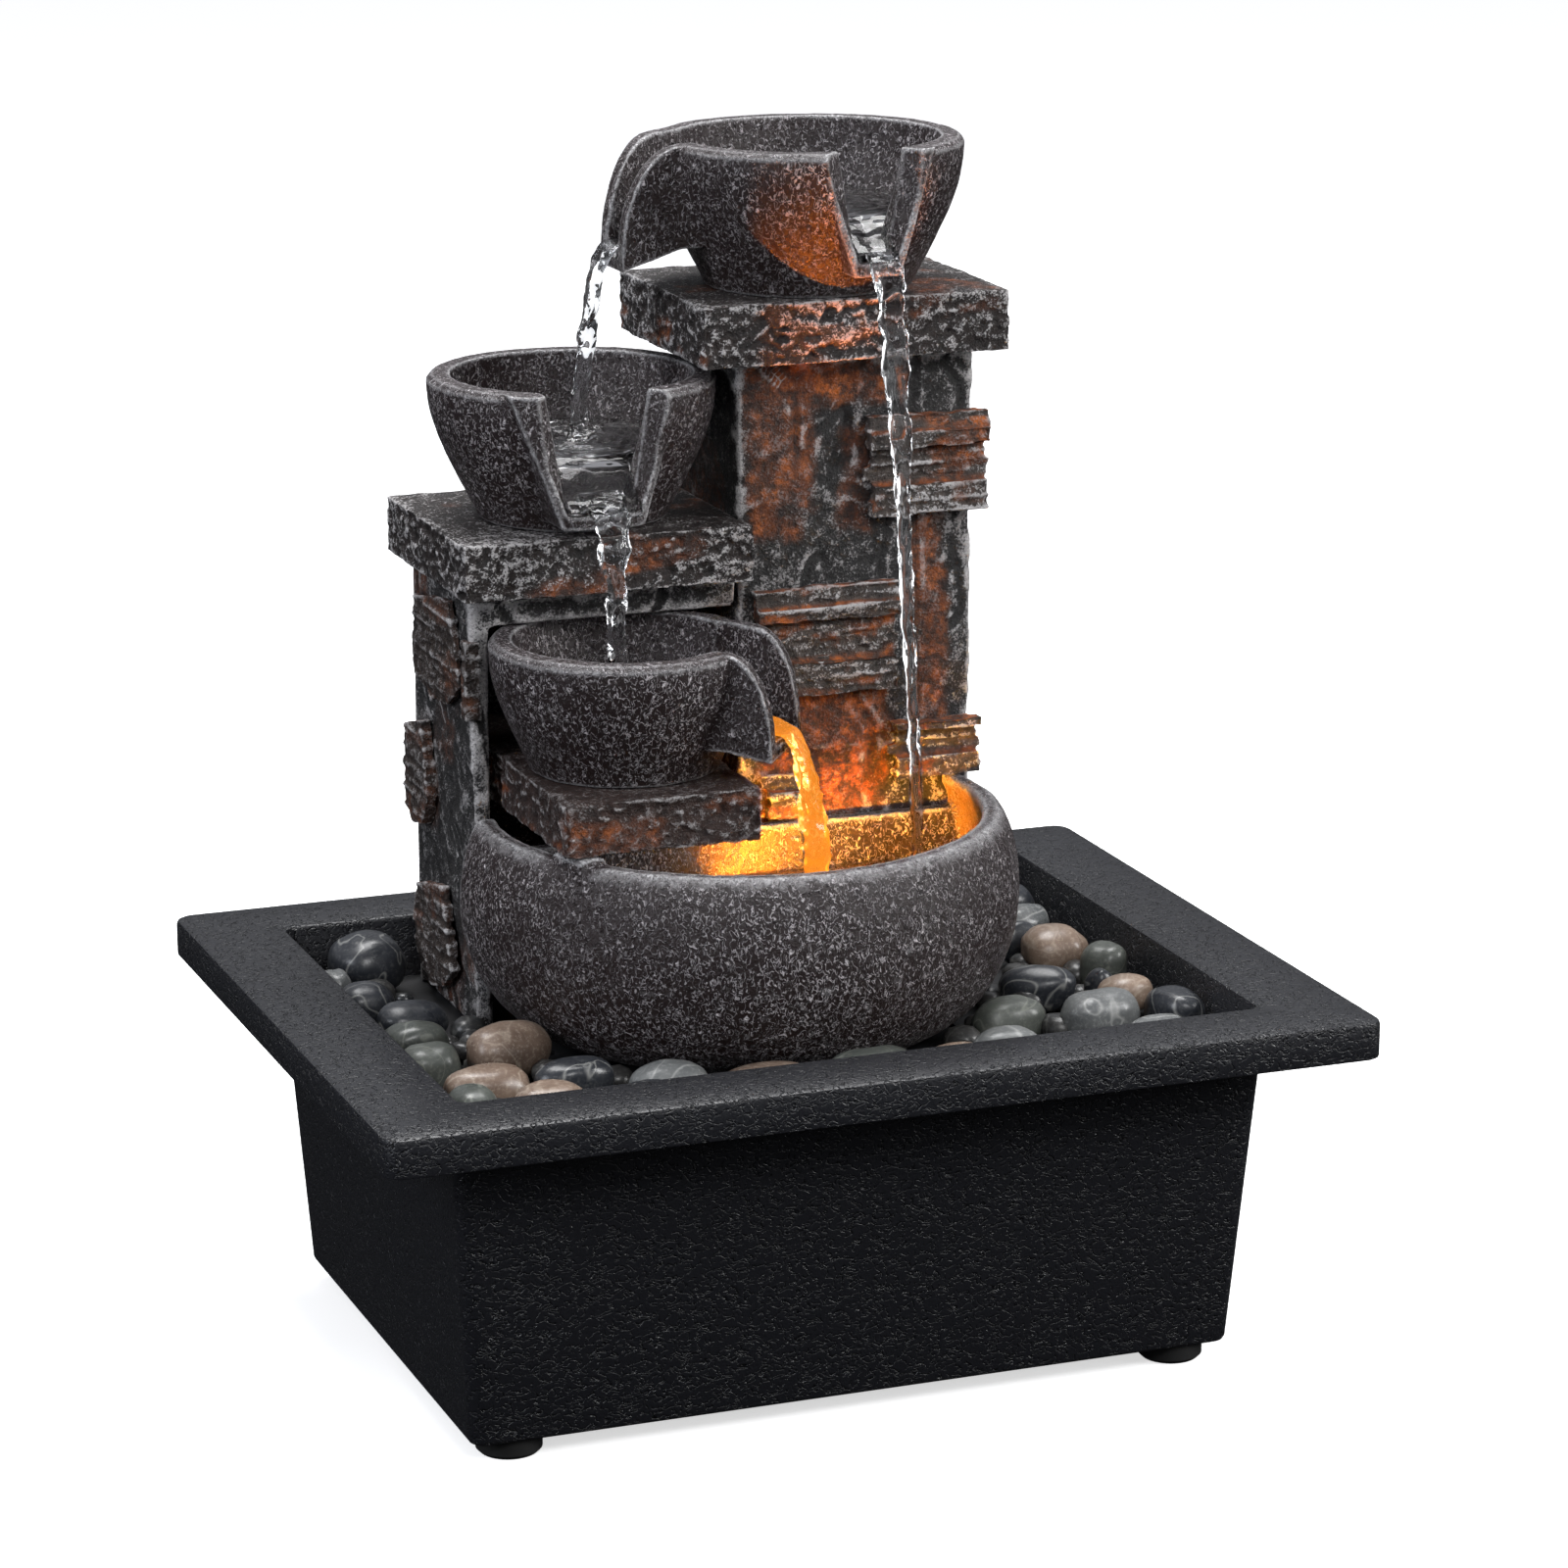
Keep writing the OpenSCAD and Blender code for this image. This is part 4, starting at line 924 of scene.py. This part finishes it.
def make_water():
    """Four pools and the four streams that link them."""
    spout = turned(TUBE_AXIS, 180)

    def upper_inside(x, y):
        u, v = spout(x, y)
        low = np.interp(u, [0, 26.5, 51.5, 64], [-21, -21, -3.4, -3.4])
        channel = (u > 20) & (u < 54.5) & (v > low) & (v < 5.9)
        notch = (np.abs(x - 32) < 4.7) & (y < 14) & (y > 1.6)
        riser = np.hypot(x - TUBE_AXIS[0], y - TUBE_AXIS[1]) > 5.3
        return ((np.hypot(x - UPPER_AXIS[0], y - UPPER_AXIS[1]) < 29.6) | channel | notch) & riser

    def upper_top(x, y):
        u, v = spout(x, y)
        z = 268.5 + 7.8 * smooth_step(y, 1, 16)
        z = np.where(u > 22, np.minimum(z, 276.3 - 7.4 * smooth_step(u, 22, 55)), z)
        return z + rings_from(x, y, TUBE_AXIS, 0.7, 5.0, 16.0)

    pool("upper_pool", (-26, 62, 0, 72), upper_inside, upper_top)

    def middle_inside(x, y):
        notch = (np.abs(x + 37.4) < 9.0) & (y < 16) & (y > 4.8)
        return (np.hypot(x - MIDDLE_AXIS[0], y - MIDDLE_AXIS[1]) < 26.2) | notch

    def middle_top(x, y):
        z = 210.9 + 10.6 * smooth_step(y, 5, 18)
        return z + rings_from(x, y, (-32.5, 40.0), 0.9, 4.2, 13.0)

    pool("middle_pool", (-66, -8, 2, 70), middle_inside, middle_top)

    lower = turned(LOWER_AXIS, -36)

    def lower_inside(x, y):
        u, v = lower(x, y)
        low = np.interp(u, [0, 30, 50], [-9.4, -9.4, -10])
        high = np.interp(u, [0, 20, 50], [20.9, 20.9, 6.4])
        channel = (u > 16) & (u < 41.3) & (v > low) & (v < high)
        return (np.hypot(x - LOWER_AXIS[0], y - LOWER_AXIS[1]) < 24.6) | channel

    def lower_top(x, y):
        u, v = lower(x, y)
        z = 165.5 - 7.6 * smooth_step(u, 18, 42)
        return z + rings_from(x, y, (-37.0, -1.5), 0.6, 4.5, 9.0)

    pool("lower_pool", (-62, 6, -34, 28), lower_inside, lower_top)

    def base_inside(x, y):
        return (np.hypot(x - BASE_AXIS[0], y - BASE_AXIS[1]) < 64.3) & (y < 15.9)

    def base_top(x, y):
        under_spout = rings_from(x, y, (6.0, -26.0), 0.8, 6.0, 14.0)
        return 112 + under_spout + rings_from(x, y, (40.0, -7.0), 0.5, 5.0, 12.0)

    pool("base_pool", (-68, 64, -58, 17), base_inside, base_top, cell=1.1)

    stream(
        "spout_stream",
        path=[(-14, 39, 270.3), (-21, 39, 269.6), (-25.2, 39, 268.2), (-27.5, 39.3, 263), (-29.3, 39.7, 252),
              (-31, 40, 240), (-32.3, 40, 230), (-32.8, 40, 220)],
        across=(0, 1, 0),
        half_widths=[3.8, 4.0, 3.9, 3.2, 2.6, 2.2, 1.9],
        half_depths=[0.9, 1.2, 1.8, 2.0, 1.8, 1.5, 1.5],
        twist=75, seed=5, material=water,
    )
    stream(
        "notch_stream",
        path=[(32.6, 10, 268.6), (32.6, 3, 268.2), (32.8, 0, 267.4), (33.1, -1.5, 264), (34, -3, 250),
              (35.3, -4.4, 225), (37, -5.6, 180), (39, -6.6, 140), (40, -7, 111)],
        across=(1, 0, 0),
        half_widths=[3.6, 3.3, 2.2, 1.7, 1.5, 1.4, 1.4],
        half_depths=[0.8, 1.2, 1.4, 1.3, 1.2, 1.2, 1.2],
        twist=60, seed=6, material=water,
    )
    stream(
        "middle_stream",
        path=[(-37, 14, 212), (-37, 7, 210.8), (-37, 3.4, 209.9), (-37, 1, 207), (-37, -0.4, 198),
              (-37, -1.2, 185), (-37, -1.6, 172), (-37, -1.6, 163.5)],
        across=(1, 0, 0),
        half_widths=[5.6, 5.0, 3.4, 2.6, 2.3, 2.2, 2.2],
        half_depths=[0.9, 1.5, 2.3, 2.3, 2.1, 1.9, 1.9],
        twist=200, seed=7, material=water,
    )
    stream(
        "lower_stream",
        path=[(-9, -15.5, 161), (-4, -19.5, 159.6), (-0.5, -22.3, 158.2), (2, -24, 153), (4, -25.2, 140),
              (5.5, -26, 125), (6, -26.2, 110.5)],
        across=(0.59, 0.81, 0),
        half_widths=[4.6, 4.4, 3.9, 3.3, 3.0, 2.8, 2.8],
        half_depths=[0.9, 1.3, 1.9, 2.2, 2.2, 2.2, 2.3],
        twist=60, seed=8, material=lit_water,
    )


make_water()


# ------------------------------------------------------------------ plain CAD parts

def dress(names, material, bevel_mm=0.25):
    """Gives CAD nodes a material and softly rounded edges."""
    for n in names:
        obj = nodes[n]
        obj.data.materials.clear()
        obj.data.materials.append(material)
        if bevel_mm:
            bevel = obj.modifiers.new("soft_edges", "BEVEL")
            bevel.width = bevel_mm * MM
            bevel.segments = 2
            bevel.limit_method = "ANGLE"
            bevel.angle_limit = math.radians(50)


dress(["shelf_supports", "cord_gate"], basin_black)
dress(["feet"], plain_plastic("foot_rubber", (0.006, 0.006, 0.006), 0.6), 0.4)
dress(["cord_grommet", "pump_suction_cups"], plain_plastic("soft_rubber", (0.008, 0.008, 0.008), 0.65))
dress(["shelf"], plain_plastic("shelf_plastic", (0.012, 0.012, 0.013), 0.5), 0)
dress(["pump_housing", "pump_end_cap", "pump_chamber_cover", "pump_intake_cover", "outlet_nozzle"],
      plain_plastic("pump_plastic", (0.014, 0.015, 0.017), 0.42))
dress(["flow_dial"], plain_plastic("dial_plastic", (0.1, 0.11, 0.12), 0.4))
dress(["pump_rotor"], plain_plastic("magnet", (0.05, 0.055, 0.06), 0.35))
dress(["pump_shaft"], plain_plastic("ceramic", (0.75, 0.74, 0.7), 0.15), 0)
dress(["pump_stator"], metal("core_steel", (0.5, 0.5, 0.52), 0.35))
dress(["pump_coil"], metal("copper_wire", (0.72, 0.3, 0.12), 0.3))
dress(["riser_tube"], plain_plastic("tube_vinyl", (0.5, 0.53, 0.55), 0.25), 0)
dress(["lamp_housing", "lamp_bracket", "lamp_lead", "lamp_plug"],
      plain_plastic("lamp_black", (0.01, 0.01, 0.011), 0.4), 0)
dress(["lamp_board"], plain_plastic("lamp_white", (0.7, 0.68, 0.6), 0.4), 0)
dress(["lamp_gasket"], plain_plastic("gasket_red", (0.25, 0.04, 0.02), 0.6), 0)
dress(["rear_cover"], column_stone, 0.3)

lens = Shader("lamp_amber")
lens.set(Base_Color=(1.0, 0.42, 0.06), Roughness=0.2, Emission_Color=(1.0, 0.38, 0.05), Emission_Strength=6.0)
dress(["lamp_lens"], lens.material, 0)


# ------------------------------------------------------------------ stage, lights and camera

def make_stage():
    """A white floor that doesn't throw light back up at the object."""
    s = Shader("stage_white")
    s.set(Base_Color=(0.9, 0.9, 0.9), Roughness=1.0, Emission_Color=(1, 1, 1), Emission_Strength=0.62)
    size = 6000.0
    corners = [(-size, -size, 0), (size, -size, 0), (size, size, 0), (-size, size, 0)]
    floor = object_from("stage_floor", corners, [[0, 1, 2, 3]])
    floor.data.materials.append(s.material)
    floor.visible_diffuse = False
    floor.visible_glossy = False


def area_light(name, place, target, size, power, colour=(1, 1, 1)):
    """A rectangular softbox; place, target and size are in metres."""
    data = bpy.data.lights.new(name, "AREA")
    data.shape = "RECTANGLE"
    data.size, data.size_y = size
    data.energy = power
    data.color = colour
    obj = bpy.data.objects.new(name, data)
    obj.location = place
    obj.rotation_euler = (Vector(target) - Vector(place)).to_track_quat("-Z", "Y").to_euler()
    scene.collection.objects.link(obj)


def spot_light(name, place, target, cone, blend, power, colour):
    """A small lamp; place and target are in millimetres, the cone in degrees."""
    data = bpy.data.lights.new(name, "SPOT")
    data.energy = power
    data.color = colour
    data.spot_size = math.radians(cone)
    data.spot_blend = blend
    data.shadow_soft_size = 4 * MM
    obj = bpy.data.objects.new(name, data)
    obj.location = Vector(place) * MM
    obj.rotation_euler = (Vector(target) - Vector(place)).to_track_quat("-Z", "Y").to_euler()
    scene.collection.objects.link(obj)


def make_lights():
    """Four softboxes, three spots for the hidden amber lamp's glow, and soft surroundings."""
    centre = (0, 0, 0.15)
    area_light("top_softbox", (0.05, 0.35, 1.3), centre, (0.9, 0.6), 19)
    area_light("right_softbox", (1.25, -0.75, 0.75), centre, (0.4, 0.9), 17)
    area_light("left_softbox", (-1.3, -0.35, 0.75), centre, (0.3, 0.9), 10, (0.88, 0.92, 1.0))
    area_light("front_softbox", (-0.2, -1.5, 1.3), centre, (0.5, 0.4), 9)
    spot_light("lamp_to_wall", (2, -22, 109), (20, 16, 124),
               cone=92, blend=0.5, power=24.0, colour=(1.0, 0.36, 0.02))
    spot_light("lamp_upwards", (6, -14, 112), (22, 6, 262),
               cone=17, blend=0.2, power=8.0, colour=(1.0, 0.22, 0.015))
    spot_light("lamp_to_bowl", (2, -24, 108), (-14, 2, 156),
               cone=60, blend=0.8, power=0.9, colour=(1.0, 0.28, 0.02))
    world = bpy.data.worlds.new("surroundings")
    scene.world = world
    world.use_nodes = True
    tree = world.node_tree
    up = tree.nodes.new("ShaderNodeSeparateXYZ")
    tree.links.new(tree.nodes.new("ShaderNodeTexCoord").outputs["Generated"], up.inputs[0])
    ramp = tree.nodes.new("ShaderNodeValToRGB")
    tree.links.new(up.outputs["Z"], ramp.inputs["Fac"])
    dark_end, pale_end = ramp.color_ramp.elements
    dark_end.position, dark_end.color = 0.0, (0.03, 0.03, 0.032, 1)
    pale_end.position, pale_end.color = 0.35, (0.5, 0.51, 0.54, 1)
    tree.links.new(ramp.outputs["Color"], tree.nodes["Background"].inputs["Color"])
    tree.nodes["Background"].inputs["Strength"].default_value = 0.75


def make_camera():
    """The camera at the fitted place, looking 15 degrees down and 21 degrees to the right."""
    down, right = 15.02, 20.90
    data = bpy.data.cameras.new("camera")
    data.lens = 117.59
    data.sensor_width = 36
    obj = bpy.data.objects.new("camera", data)
    obj.location = (-0.4284, -1.1391, 0.4661)
    obj.rotation_euler = (math.radians(90 - down), 0, math.radians(-right))
    scene.collection.objects.link(obj)
    scene.camera = obj


make_stage()
make_lights()
make_camera()
scene.view_settings.view_transform = "Standard"
